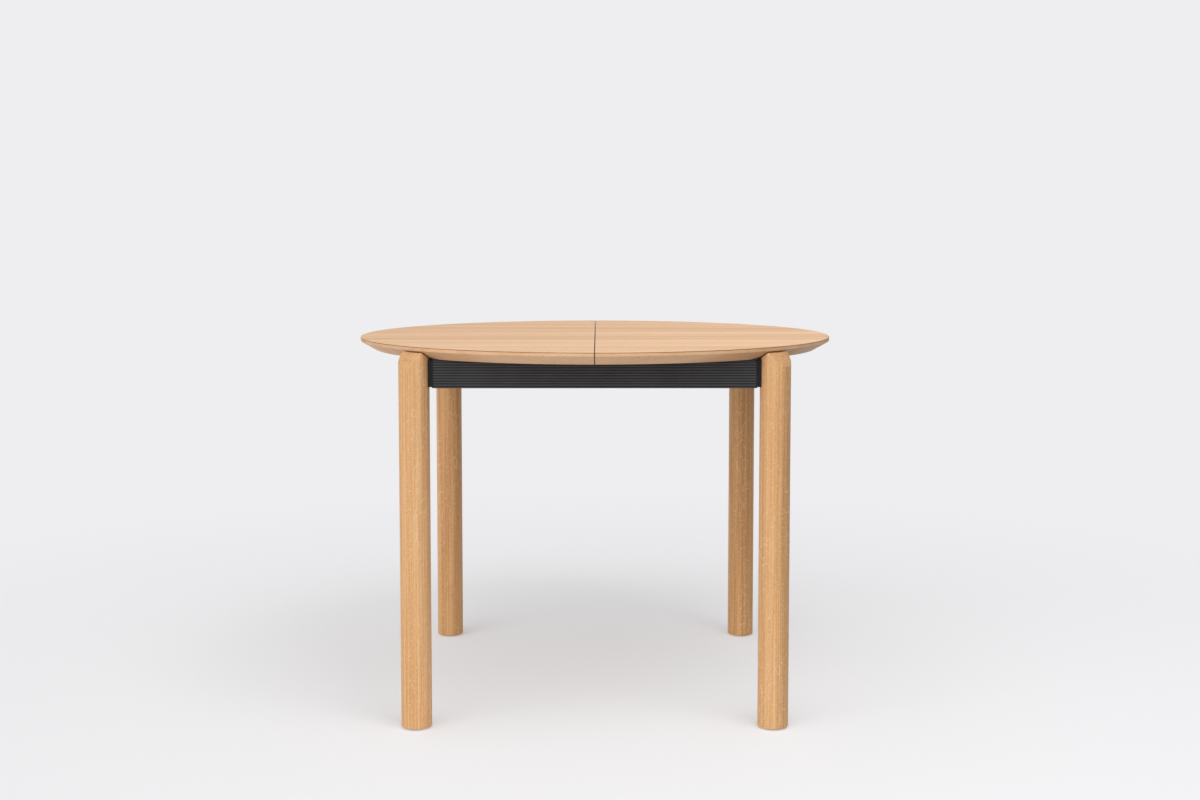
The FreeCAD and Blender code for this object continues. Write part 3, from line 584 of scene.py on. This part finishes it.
@dataclass(frozen=True, kw_only=True)
class Metal(Finish):
    """Bare or plated metal: a bright skin with drawing lines or a cloudy passivate."""

    low: str
    high: str
    line_length: float
    line_width: float
    cloud: float = 14 * MM
    low_level: float = 0.35
    high_level: float = 0.62
    low_gain: float = -0.07
    high_gain: float = 0.08
    relief: float = 0.05 * MM
    relief_strength: float = 0.15

    def build(self) -> bpy.types.Material:
        """Makes the metal.

        Returns:
            The material.
        """
        material, tree, shader = new_material(self.name)
        place = add(tree, "TexCoord").outputs["Object"]
        clouds = add(tree, "TexNoise", {"Scale": 1 / self.cloud, "Detail": 3.0}, Vector=place).outputs[0]
        tones = ((self.low_level, self.low), (self.high_level, self.high))
        colour = add(tree, "ValToRGB", None, tones, Fac=clouds).outputs["Color"]
        spread = add(tree, "Mapping", {"Scale": stretched(Axis.X, self.line_length, self.line_width)},
                     Vector=place)
        lines = add(tree, "TexNoise", {"Scale": 1.0, "Detail": 2.0},
                    Vector=spread.outputs["Vector"]).outputs[0]
        self.surface(tree, shader, colour, lines, lines)
        shader.inputs["Metallic"].default_value = 1.0
        return material


def table_finishes(rail_middle: float) -> dict[Slot, Finish]:
    """Lists the table's finishes.

    Args:
        rail_middle: The height of the middle of the rails, in metres.

    Returns:
        Each finish under its slot.
    """
    return {
        # Quarter-cut veneer, pressed in matched leaves: pale honey with fine straight lines.
        Slot.OAK_VENEER: Oak(
            name="oak_veneer_matt_lacquer", grain=Axis.X, pale="#E9C39C", middle="#DFB489", deep="#D09F71",
            pore="#B48459", fleck="#E7C59D", board_width=145 * MM, board_and_shade_tone=0.012, board_and_shade_seed=0.0,
            band_share=0.6, fleck_share=0.0),
        # Turned from glued staves: warmer than the veneer, with ray flecks and loops on some sides; the stave
        # tones are also set strong to paint shade on the right side of the front right leg.
        Slot.OAK_SOLID: Oak(
            name="oak_solid_turned_matt_lacquer", grain=Axis.Z, pale="#DCB080", middle="#CD9C69",
            deep="#B58251", pore="#9A6A3D", fleck="#E6C89E", board_width=30 * MM, board_and_shade_tone=0.08,
            board_and_shade_seed=751.0, band_share=0.2, fleck_share=0.13, streak_length=700 * MM, streak_width=6 * MM,
            wander=4 * MM, pore_depth=0.25, fleck_height=2.6 * MM, fleck_width=4.5 * MM, loop_depth=0.4,
            end_depth=0.2),
        # An extruded rail, blasted and dyed black: a grey sheen over fine drawing lines.
        Slot.BLACK_ANODISED: Coated(
            name="aluminium_black_anodised", low="#373638", high="#403F41", roughness=0.46, grit=0.8 * MM,
            relief=0.05 * MM, gloss=0.4, run=Axis.X, rib_pitch=5.2 * MM, rib_middle=rail_middle),
        # A die casting under powder coat: a soft even bloom with a slight orange peel.
        Slot.BLACK_CAST: Coated(
            name="zinc_casting_powder_coated", low="#161617", high="#1C1C1D", roughness=0.55, grit=1.4 * MM,
            relief=0.08 * MM, gloss=0.2),
        # An extrusion under clear anodising: bright, with long die lines.
        Slot.BARE_ALUMINIUM: Metal(
            name="aluminium_extruded_clear_anodised", low="#B9BBBD", high="#CDCFD1", roughness=0.36,
            line_length=300 * MM, line_width=0.7 * MM),
        # Moulded nylon with a spark-eroded skin: a dull even grain.
        Slot.BLACK_PLASTIC: Coated(
            name="nylon_black_moulded", low="#17181A", high="#1D1E20", roughness=0.6, grit=0.9 * MM,
            relief=0.06 * MM, ior=1.53, gloss=0.22),
        # Moulded acetal: milky, slightly waxy.
        Slot.WHITE_PLASTIC: Coated(
            name="acetal_white_moulded", low="#E4E1DA", high="#EEEBE4", roughness=0.38, grit=1.2 * MM,
            relief=0.03 * MM, ior=1.48),
        # Pressed rubber pads, dull and slightly dusty.
        Slot.BLACK_RUBBER: Coated(
            name="rubber_pressed", low="#222222", high="#2B2B2A", roughness=0.8, grit=0.8 * MM,
            relief=0.08 * MM, ior=1.52),
        # Stamped brass, handled and a little tarnished.
        Slot.BRASS: Metal(
            name="brass_stamped", low="#A98443", high="#CDA75A", roughness=0.3, line_length=9 * MM,
            line_width=0.5 * MM),
        # Pressed steel, zinc plated and passivated: cool grey with faint warm clouds.
        Slot.ZINC_STEEL: Metal(
            name="steel_zinc_plated", low="#BABCBA", high="#C7CACD", roughness=0.34, line_length=12 * MM,
            line_width=0.6 * MM),
    }


@dataclass(frozen=True)
class Ring:
    """One ring of a turned piece, with the share by which a lobed drive bends it."""

    radius: float
    along: float
    lobes: float = 0.0


def rounded(inner: float, outer: float, start: float, end: float) -> list[Ring]:
    """Rounds the edge between a face and the side of a turned piece.

    Args:
        inner: The radius at which the face ends, in metres.
        outer: The radius of the side, in metres.
        start: The place of the face along the axis, in metres.
        end: The place where the side begins, in metres.

    Returns:
        The rings of a quarter of an ellipse.
    """
    turns = [math.pi / 2 * step / ROUND_STEPS for step in range(ROUND_STEPS + 1)]
    return [Ring(inner + (outer - inner) * math.sin(turn), start + (end - start) * (1 - math.cos(turn)))
            for turn in turns]


@dataclass(frozen=True)
class Spindle:
    """Where a turned piece stands: the end it starts from, the way it runs, its length and its radius."""

    start: Vector
    way: Vector
    length: float
    radius: float

    def skin(self, work: bmesh.types.BMesh, rings: list[Ring]) -> None:
        """Adds the skin of a turned solid.

        Args:
            work: The mesh that takes it.
            rings: Its rings from the start to the other end.
        """
        aside = self.way.orthogonal().normalized()
        over = self.way.cross(aside)
        loops = []
        for ring in rings:
            loop = []
            for step in range(TURN_SIDES):
                angle = math.tau * step / TURN_SIDES
                radius = ring.radius * (1 + ring.lobes * math.cos(DRIVE_LOBES * angle))
                spoke = aside * math.cos(angle) + over * math.sin(angle)
                loop.append(work.verts.new(self.start + self.way * ring.along + spoke * radius))
            loops.append(loop)
        faces = [work.faces.new(loops[0][::-1]), work.faces.new(loops[-1])]
        for near, far in zip(loops, loops[1:]):
            for step in range(TURN_SIDES):
                after = (step + 1) % TURN_SIDES
                faces.append(work.faces.new((near[step], near[after], far[after], far[step])))
        bmesh.ops.recalc_face_normals(work, faces=faces)


def solid_boxes(node: str) -> list[tuple[Vector, Vector]]:
    """Finds the separate solids of a node.

    Args:
        node: The node's name.

    Returns:
        The lowest and highest corner of each solid.
    """
    work = bmesh.new()
    work.from_mesh(frame["nodes"][node].data)
    bmesh.ops.remove_doubles(work, verts=work.verts, dist=WELD)
    waiting = set(work.verts)
    boxes = []
    for seed in list(work.verts):
        if seed not in waiting:
            continue
        waiting.remove(seed)
        found = [seed]
        for vert in found:
            near = {edge.other_vert(vert) for edge in vert.link_edges} & waiting
            waiting -= near
            found += near
        low = Vector(min(vert.co[i] for vert in found) for i in range(3))
        high = Vector(max(vert.co[i] for vert in found) for i in range(3))
        boxes.append((low, high))
    work.free()
    return sorted(boxes, key=lambda box: tuple(box[0]))


def spindle(box: tuple[Vector, Vector], way: Vector) -> Spindle:
    """Takes the axis of a turned solid from its box.

    Args:
        box: The solid's lowest and highest corner.
        way: The unit vector along its axis, from the end that comes first.

    Returns:
        The solid's axis, with its length and its largest radius.
    """
    size = box[1] - box[0]
    length = abs(size.dot(way))
    radius = max(size[i] for i in range(3) if way[i] == 0) / 2
    return Spindle((box[0] + box[1]) / 2 - way * length / 2, way, length, radius)


def body_of(node: str) -> str:
    """Finds the body that carries a node.

    Args:
        node: The node's name.

    Returns:
        The body's name.
    """
    bodies = frame["record"]["behaviour"]["bodies"]
    return next(body for body, nodes in bodies.items() if node in nodes)


@dataclass
class SubAssembly(ABC):
    """A group of pieces that belong together, with the finish of each slot."""

    finishes: dict[Slot, bpy.types.Material]

    @abstractmethod
    def nodes(self) -> list[str]:
        """Lists the group's nodes."""

    def build(self) -> None:
        """Builds what the solids leave out, which is nothing unless a group says so."""

    def dress(self) -> None:
        """Gives each node the finish of its slot."""
        for name in self.nodes():
            slot = self.slot(name)
            frame["nodes"][name].data.materials[0] = self.finishes[slot]
            LOG.info("%s: %s dressed as %s", type(self).__name__, name, slot.value)

    def slot(self, node: str) -> Slot:
        """Reads the slot that the record gives a node."""
        return next(Slot(row["material_slot"]) for row in frame["record"]["subparts"] if row["node"] == node)

    def shaped(self, node: str, work: bmesh.types.BMesh) -> None:
        """Puts a finely shaped piece in the place of a node.

        Args:
            node: The node that it stands for.
            work: Its mesh, which is used up.
        """
        mesh = bpy.data.meshes.new(node + "_shaped")
        work.to_mesh(mesh)
        work.free()
        mesh.polygons.foreach_set("use_smooth", [True] * len(mesh.polygons))
        mesh.set_sharp_from_angle(angle=SHARP_ANGLE)
        slot = self.slot(node)
        mesh.materials.append(self.finishes[slot])
        piece = bpy.data.objects.new(node + "_shaped", mesh)
        bpy.context.scene.collection.objects.link(piece)
        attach(piece, body_of(node))
        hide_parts(node)
        LOG.info("%s: %s shaped", type(self).__name__, node)


@dataclass
class TableTop(SubAssembly):
    """The two halves of the round top: veneered board with a solid bevelled lipping."""

    def nodes(self) -> list[str]:
        """Lists the halves."""
        return [f"{side}_top" for side in SIDES]


@dataclass
class Legs(SubAssembly):
    """Four turned legs with their castings, bolts and floor glides."""

    glide_thickness: float = 2.5 * MM
    glide_round: float = 1.2 * MM
    stem_radius: float = 3 * MM
    stem_point: float = 1 * MM

    def nodes(self) -> list[str]:
        """Lists the legs and what holds them."""
        corners = [f"{row}_{side}_{part}" for row in ROWS for side in SIDES
                   for part in ("leg", "corner_block")]
        return corners + [f"{side}_{part}" for side in SIDES
                          for part in ("leg_bolts", "leg_inserts", "foot_glides")]

    def build(self) -> None:
        """Turns the floor glides with a soft lower edge and a pointed stem."""
        for side in SIDES:
            node = f"{side}_foot_glides"
            work = bmesh.new()
            for box in solid_boxes(node):
                place = spindle(box, UPWARD)
                face = place.radius - self.glide_round
                place.skin(work, rounded(face, place.radius, 0, self.glide_round) + [
                    Ring(place.radius, self.glide_thickness),
                    Ring(self.stem_radius, self.glide_thickness),
                    Ring(self.stem_radius, place.length - self.stem_point),
                    Ring(self.stem_radius - self.stem_point, place.length),
                ])
            self.shaped(node, work)


@dataclass
class SlidingFrame(SubAssembly):
    """Ribbed rails with caps and glide buttons, and the runners that telescope in them."""

    button_height: float = 0.9 * MM
    button_dome: float = 0.7 * MM
    button_flat: float = 4 * MM
    button_stem_radius: float = 3 * MM

    def nodes(self) -> list[str]:
        """Lists the rails, the runners and what is on them.

        Returns:
            The names of the nodes.
        """
        names = [f"{row}_{part}" for row in ROWS for part in ("rail", "rail_caps", "rail_buttons")]
        names += [f"{side}_{part}" for side in SIDES for part in ("end_rail", "runner_shoes", "top_brackets")]
        return names + [f"{row}_{side}_runner" for row in ROWS for side in SIDES]

    def build(self) -> None:
        """Turns the glide buttons with a low dome."""
        for row in ROWS:
            node = f"{row}_rail_buttons"
            work = bmesh.new()
            for box in solid_boxes(node):
                place = spindle(box, -UPWARD)
                place.skin(work, rounded(self.button_flat, place.radius, 0, self.button_dome) + [
                    Ring(place.radius, self.button_height),
                    Ring(self.button_stem_radius, self.button_height),
                    Ring(self.button_stem_radius, place.length),
                ])
            self.shaped(node, work)


@dataclass
class FoldedLeaf(SubAssembly):
    """The spare leaf, folded on its hinges and carried by straps."""

    pin_dome: float = 0.8 * MM
    pin_flat: float = 0.5 * MM

    def nodes(self) -> list[str]:
        """Lists the panels, the hinges and the straps."""
        names = [f"{level}_{part}" for level in ("lower", "upper") for part in ("leaf_panel", "hinge_plates")]
        return names + [f"{side}_leaf_strap" for side in SIDES] + ["hinge_pins", "leaf_pads"]

    def build(self) -> None:
        """Turns the hinge pins with domed ends."""
        work = bmesh.new()
        for box in solid_boxes("hinge_pins"):
            place = spindle(box, ALONG_X)
            dome = rounded(self.pin_flat, place.radius, 0, self.pin_dome)
            place.skin(work, dome + [Ring(ring.radius, place.length - ring.along) for ring in reversed(dome)])
        self.shaped("hinge_pins", work)


@dataclass
class GearDrive(SubAssembly):
    """The gear that keeps the halves in step, with its racks, bracket and axle."""

    head_height: float = 3 * MM
    head_chamfer: float = 0.5 * MM
    shank_radius: float = 4 * MM
    socket_radius: float = 3.2 * MM
    socket_floor_radius: float = 2.56 * MM
    socket_mouth_radius: float = 3.68 * MM
    socket_depth: float = 2 * MM
    socket_lip: float = 0.15 * MM
    socket_lobes: float = 0.13

    def nodes(self) -> list[str]:
        """Lists the gear and what drives and carries it."""
        return ["sync_gear", "gear_axle", "gear_bracket"] + [f"{side}_rack" for side in SIDES]

    def build(self) -> None:
        """Turns the axle with a chamfered head and a lobed socket."""
        work = bmesh.new()
        for box in solid_boxes("gear_axle"):
            place = spindle(box, -UPWARD)
            place.skin(work, [
                Ring(self.socket_floor_radius, self.socket_depth, self.socket_lobes),
                Ring(self.socket_radius, self.socket_lip, self.socket_lobes),
                Ring(self.socket_mouth_radius, 0),
                Ring(place.radius - self.head_chamfer, 0),
                Ring(place.radius, self.head_chamfer),
                Ring(place.radius, self.head_height),
                Ring(self.shank_radius, self.head_height),
                Ring(self.shank_radius, place.length - self.head_chamfer),
                Ring(self.shank_radius - self.head_chamfer, place.length),
            ])
        self.shaped("gear_axle", work)


@dataclass
class SeamLocks(SubAssembly):
    """Pins and bolts that line up and lock the halves at the seam."""

    pin_nose: float = 3 * MM
    pin_nose_share: float = 0.62
    bolt_radius: float = 4 * MM
    bolt_chamfer: float = 0.8 * MM
    knob_radius: float = 2.5 * MM
    knob_round: float = 0.75 * MM
    knob_groove: float = 0.35 * MM
    knob_groove_pitch: float = 1.6 * MM
    knob_grooves: int = 3

    def nodes(self) -> list[str]:
        """Lists the pins, the bolts and what takes them."""
        names = [f"{row}_{part}" for row in ROWS for part in ("lock_housing", "lock_bolt")]
        return names + ["lock_keepers", "seam_pins", "seam_sockets"]

    def build(self) -> None:
        """Turns the pins with a rounded nose and the bolts with a grooved finger knob."""
        work = bmesh.new()
        for box in solid_boxes("seam_pins"):
            place = spindle(box, -ALONG_X)
            nose = rounded(self.pin_nose_share * place.radius, place.radius, 0, self.pin_nose)
            place.skin(work, nose + [Ring(place.radius, place.length)])
        self.shaped("seam_pins", work)
        for row in ROWS:
            self.shaped(f"{row}_lock_bolt", self.lock_bolt(f"{row}_lock_bolt"))

    def lock_bolt(self, node: str) -> bmesh.types.BMesh:
        """Turns one lock bolt and its knob.

        Args:
            node: The node that it stands for.

        Returns:
            The mesh of both.
        """
        low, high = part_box(node)
        work = bmesh.new()
        chamfer = self.bolt_chamfer
        shaft_low = Vector((low.x, low.y, high.z - 2 * self.bolt_radius))
        shaft = spindle((shaft_low, Vector(high)), ALONG_X)
        shaft.skin(work, [
            Ring(shaft.radius - chamfer, 0),
            Ring(shaft.radius, chamfer),
            Ring(shaft.radius, shaft.length - 2 * chamfer),
            Ring(shaft.radius - chamfer, shaft.length),
        ])
        lowest = [vert.co.x for vert in frame["nodes"][node].data.vertices if vert.co.z < low.z + WELD]
        knob_x = (min(lowest) + max(lowest)) / 2
        foot = Vector((knob_x, (low.y + high.y) / 2, low.z))
        knob = Spindle(foot, UPWARD, shaft_low.z - low.z + self.bolt_radius, self.knob_radius)
        rings = rounded(knob.radius - self.knob_round, knob.radius, 0, self.knob_round)
        for index in range(self.knob_grooves):
            middle = (index + 1) * self.knob_groove_pitch
            rings += [Ring(knob.radius, middle - self.knob_groove),
                      Ring(knob.radius - self.knob_groove, middle),
                      Ring(knob.radius, middle + self.knob_groove)]
        knob.skin(work, rings + [Ring(knob.radius, knob.length)])
        return work


@dataclass
class Screws(SubAssembly):
    """Low-domed screws with a six-lobe drive, whose finer sizes are shares of the head and the shank."""

    head_height: float = 2 * MM
    shank_radius: float = 2 * MM
    small_head_height: float = 1.2 * MM
    small_shank_radius: float = 1.5 * MM
    drive_share: float = 0.5
    drive_floor_share: float = 0.75
    drive_mouth_share: float = 1.2
    drive_depth_share: float = 0.6
    drive_lip_share: float = 0.08
    drive_lobes: float = 0.14
    dome_share: float = 0.65
    point_share: float = 0.3

    def groups(self) -> dict[str, Driven]:
        """Lists the groups of screws.

        Returns:
            The way that each group is driven, by its node.
        """
        named = {"frame_screws": Driven.ACROSS, "hinge_screws": Driven.BACKWARD}
        for side in SIDES:
            named[f"{side}_top_screws"] = Driven.UP
            named[f"{side}_rail_screws"] = Driven.SIDEWAYS
        return named

    def nodes(self) -> list[str]:
        """Lists the groups of screws."""
        return list(self.groups())

    def build(self) -> None:
        """Turns each screw where its plain solid stands."""
        for node, driven in self.groups().items():
            small = node == "hinge_screws"
            high = self.small_head_height if small else self.head_height
            shank = self.small_shank_radius if small else self.shank_radius
            work = bmesh.new()
            for box in solid_boxes(node):
                place = spindle(box, driven.way((box[0] + box[1]) / 2))
                place.skin(work, self.profile(place, high, shank))
            self.shaped(node, work)

    def profile(self, place: Spindle, high: float, shank: float) -> list[Ring]:
        """Draws a screw from the floor of its drive to its tip.

        Args:
            place: Where the screw stands.
            high: The height of its head, in metres.
            shank: The radius of its shank, in metres.

        Returns:
            The rings of the screw.
        """
        drive = self.drive_share * place.radius
        recess = [
            Ring(self.drive_floor_share * drive, self.drive_depth_share * high, self.drive_lobes),
            Ring(drive, self.drive_lip_share * high, self.drive_lobes),
        ]
        head = rounded(self.drive_mouth_share * drive, place.radius, 0, self.dome_share * high)
        return recess + head + [
            Ring(place.radius, high),
            Ring(shank, high),
            Ring(shank, place.length - shank),
            Ring(self.point_share * shank, place.length),
        ]


@dataclass
class Studio:
    """The pale floor, the soft light and the camera."""

    background: str = "#EEEEF0"
    floor_colour: str = "#F6F6F8"
    floor_roughness: float = 0.9
    floor_reach: float = 40.0
    # On the right the floor throws less light back, as a dark flag there would make it.
    flag_colour: str = "#6A6A6C"
    flag_start: float = 0.2
    flag_end: float = 1.1
    near_radius: float = 0.9
    far_radius: float = 2.6
    shadow_lift: float = 0.36
    glow_colour: str = "#FFFFFF"
    glow_from: tuple[float, float, float] = (-0.35, -0.75, 0.45)
    bright_glow: float = 0.82
    dim_glow: float = 0.22
    key_power: float = 36.0
    key_size: float = 1.8
    key_place: tuple[float, float, float] = (0.9, -1.5, 3.2)
    key_target: tuple[float, float, float] = (0.0, 0.0, 0.6)
    fill_strength: float = 1.0
    fill_softness: float = math.radians(60)
    fill_towards: tuple[float, float, float] = (0.5, 0.75, -0.43)
    camera_place: tuple[float, float, float] = (0.00668, -3.34163, 0.97614)
    camera_turn: float = 0.0012
    camera_dip: float = 0.0714
    lens: float = 46.55
    shift: float = -0.05

    def seen(self, tree: bpy.types.NodeTree) -> bpy.types.NodeSocket:
        """Finds the rays that show the background: those of the camera, reflections and glass.

        Args:
            tree: The node tree that asks.

        Returns:
            One for such a ray, and zero for a ray that only carries light.
        """
        path = add(tree, "LightPath")
        mirror = add(tree, "Math", {"operation": "MAXIMUM"}, in0=path.outputs["Is Camera Ray"],
                     in1=path.outputs["Is Glossy Ray"])
        return add(tree, "Math", {"operation": "MAXIMUM"}, in0=mirror.outputs[0],
                   in1=path.outputs["Is Transmission Ray"]).outputs[0]

    def build_floor(self) -> None:
        """Lays the floor, which keeps the shadow, fades out far off and is clear from below."""
        mesh = bpy.data.meshes.new("floor")
        reach = self.floor_reach
        corners = [(-reach, -reach, 0), (reach, -reach, 0), (reach, reach, 0), (-reach, reach, 0)]
        mesh.from_pydata(corners, [], [(0, 1, 2, 3)])
        floor = bpy.data.objects.new("floor", mesh)
        bpy.context.scene.collection.objects.link(floor)
        mesh.materials.append(self.floor_paint())

    def floor_paint(self) -> bpy.types.Material:
        """Makes the matt paint of the floor.

        Returns:
            The material.
        """
        material, tree, shader = new_material("floor_matt_paint")
        shader.inputs["Roughness"].default_value = self.floor_roughness
        shader.inputs["Specular IOR Level"].default_value = 0.0
        place = add(tree, "TexCoord").outputs["Object"]
        seen = self.seen(tree)
        unseen = add(tree, "Math", {"operation": "SUBTRACT", 0: 1.0}, in1=seen).outputs[0]
        flag = add(tree, "MapRange", {"From Min": self.flag_start, "From Max": self.flag_end},
                   Value=placed(tree, Axis.X)).outputs[0]
        dark = add(tree, "Math", {"operation": "MULTIPLY"}, in0=flag, in1=unseen).outputs[0]
        paint = add(tree, "Mix", {"data_type": "RGBA", 6: linear(self.floor_colour),
                                  7: linear(self.flag_colour)}, in0=dark).outputs[2]
        tree.links.new(paint, shader.inputs["Base Color"])
        distance = add(tree, "VectorMath", {"operation": "LENGTH"}, in0=place).outputs["Value"]
        fade = add(tree, "MapRange", {"interpolation_type": "SMOOTHSTEP", "From Min": self.near_radius,
                                      "From Max": self.far_radius, "To Min": self.shadow_lift},
                   Value=distance).outputs[0]
        factor = add(tree, "Math", {"operation": "MULTIPLY"}, in0=fade, in1=seen).outputs[0]
        far = add(tree, "Emission", {"Color": linear(self.background)})
        mix = add(tree, "MixShader", None, in0=factor, in1=shader.outputs[0], in2=far.outputs[0])
        below = add(tree, "NewGeometry").outputs["Backfacing"]
        clear = add(tree, "BsdfTransparent")
        one_way = add(tree, "MixShader", None, in0=below, in1=mix.outputs[0], in2=clear.outputs[0])
        tree.links.new(one_way.outputs[0], tree.nodes["Material Output"].inputs["Surface"])
        return material

    def build_light(self) -> None:
        """Lets the room glow, and hangs a soft box over the front and a wide fill at the left."""
        world = bpy.data.worlds.new("studio")
        bpy.context.scene.world = world
        world.use_nodes = True
        tree = world.node_tree
        tree.nodes.clear()
        way = add(tree, "TexCoord").outputs["Generated"]
        source = Vector(self.glow_from).normalized()
        towards = add(tree, "VectorMath", {"operation": "DOT_PRODUCT", 1: source}, in0=way).outputs["Value"]
        level = add(tree, "MapRange", {"From Min": -1.0, "To Min": self.dim_glow, "To Max": self.bright_glow},
                    Value=towards).outputs[0]
        glow = add(tree, "Background", {"Color": linear(self.glow_colour)}, Strength=level)
        pale = add(tree, "Background", {"Color": linear(self.background)})
        mix = add(tree, "MixShader", None, in0=self.seen(tree), in1=glow.outputs[0], in2=pale.outputs[0])
        add(tree, "OutputWorld", {"is_active_output": True}, Surface=mix.outputs[0])
        box = bpy.data.lights.new("soft_box", "AREA")
        box.energy = self.key_power
        box.size = self.key_size
        aim = Vector(self.key_target) - Vector(self.key_place)
        self.hang(box, aim).location = self.key_place
        fill = bpy.data.lights.new("fill", "SUN")
        fill.energy = self.fill_strength
        fill.angle = self.fill_softness
        self.hang(fill, Vector(self.fill_towards))

    def hang(self, light: bpy.types.Light, towards: Vector) -> bpy.types.Object:
        """Hangs a lamp where the camera doesn't see it.

        Args:
            light: The lamp.
            towards: The way that its light goes.

        Returns:
            The lamp's object.
        """
        lamp = bpy.data.objects.new(light.name, light)
        lamp.rotation_euler = towards.to_track_quat("-Z", "Y").to_euler()
        lamp.visible_camera = False
        bpy.context.scene.collection.objects.link(lamp)
        return lamp

    def build_camera(self) -> None:
        """Stands the camera in front of the table, a little above the top."""
        data = bpy.data.cameras.new("camera")
        data.lens = self.lens
        data.shift_y = self.shift
        camera = bpy.data.objects.new("camera", data)
        camera.location = self.camera_place
        camera.rotation_euler = Euler((math.pi / 2 - self.camera_dip, 0.0, -self.camera_turn))
        bpy.context.scene.collection.objects.link(camera)
        bpy.context.scene.camera = camera


def main() -> None:
    """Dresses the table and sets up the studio."""
    logging.basicConfig(level=logging.INFO, format="%(message)s")
    rail_low, rail_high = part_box("front_rail")
    listed = table_finishes((rail_low.z + rail_high.z) / 2)
    finishes = {slot: finish.build() for slot, finish in listed.items()}
    # The top's veneer ends in a solid lipping, partly painted shade on faces that look out or down, with a thin
    # dark line along the rim and painted shade on the eased edges of the seam.
    lipped_and_shaded = replace(listed[Slot.OAK_VENEER], name="oak_veneer_lipped_shaded_matt_lacquer", edge_top=CAD_BOX[1].z)
    groups = [TableTop({**finishes, Slot.OAK_VENEER: lipped_and_shaded.build()})]
    groups += [kind(finishes) for kind in (Legs, SlidingFrame, FoldedLeaf, GearDrive, SeamLocks, Screws)]
    for group in groups:
        group.dress()
        group.build()
    studio = Studio()
    studio.build_floor()
    studio.build_light()
    studio.build_camera()
    bpy.context.scene.view_settings.view_transform = "Standard"


if __name__ == "__main__":
    main()
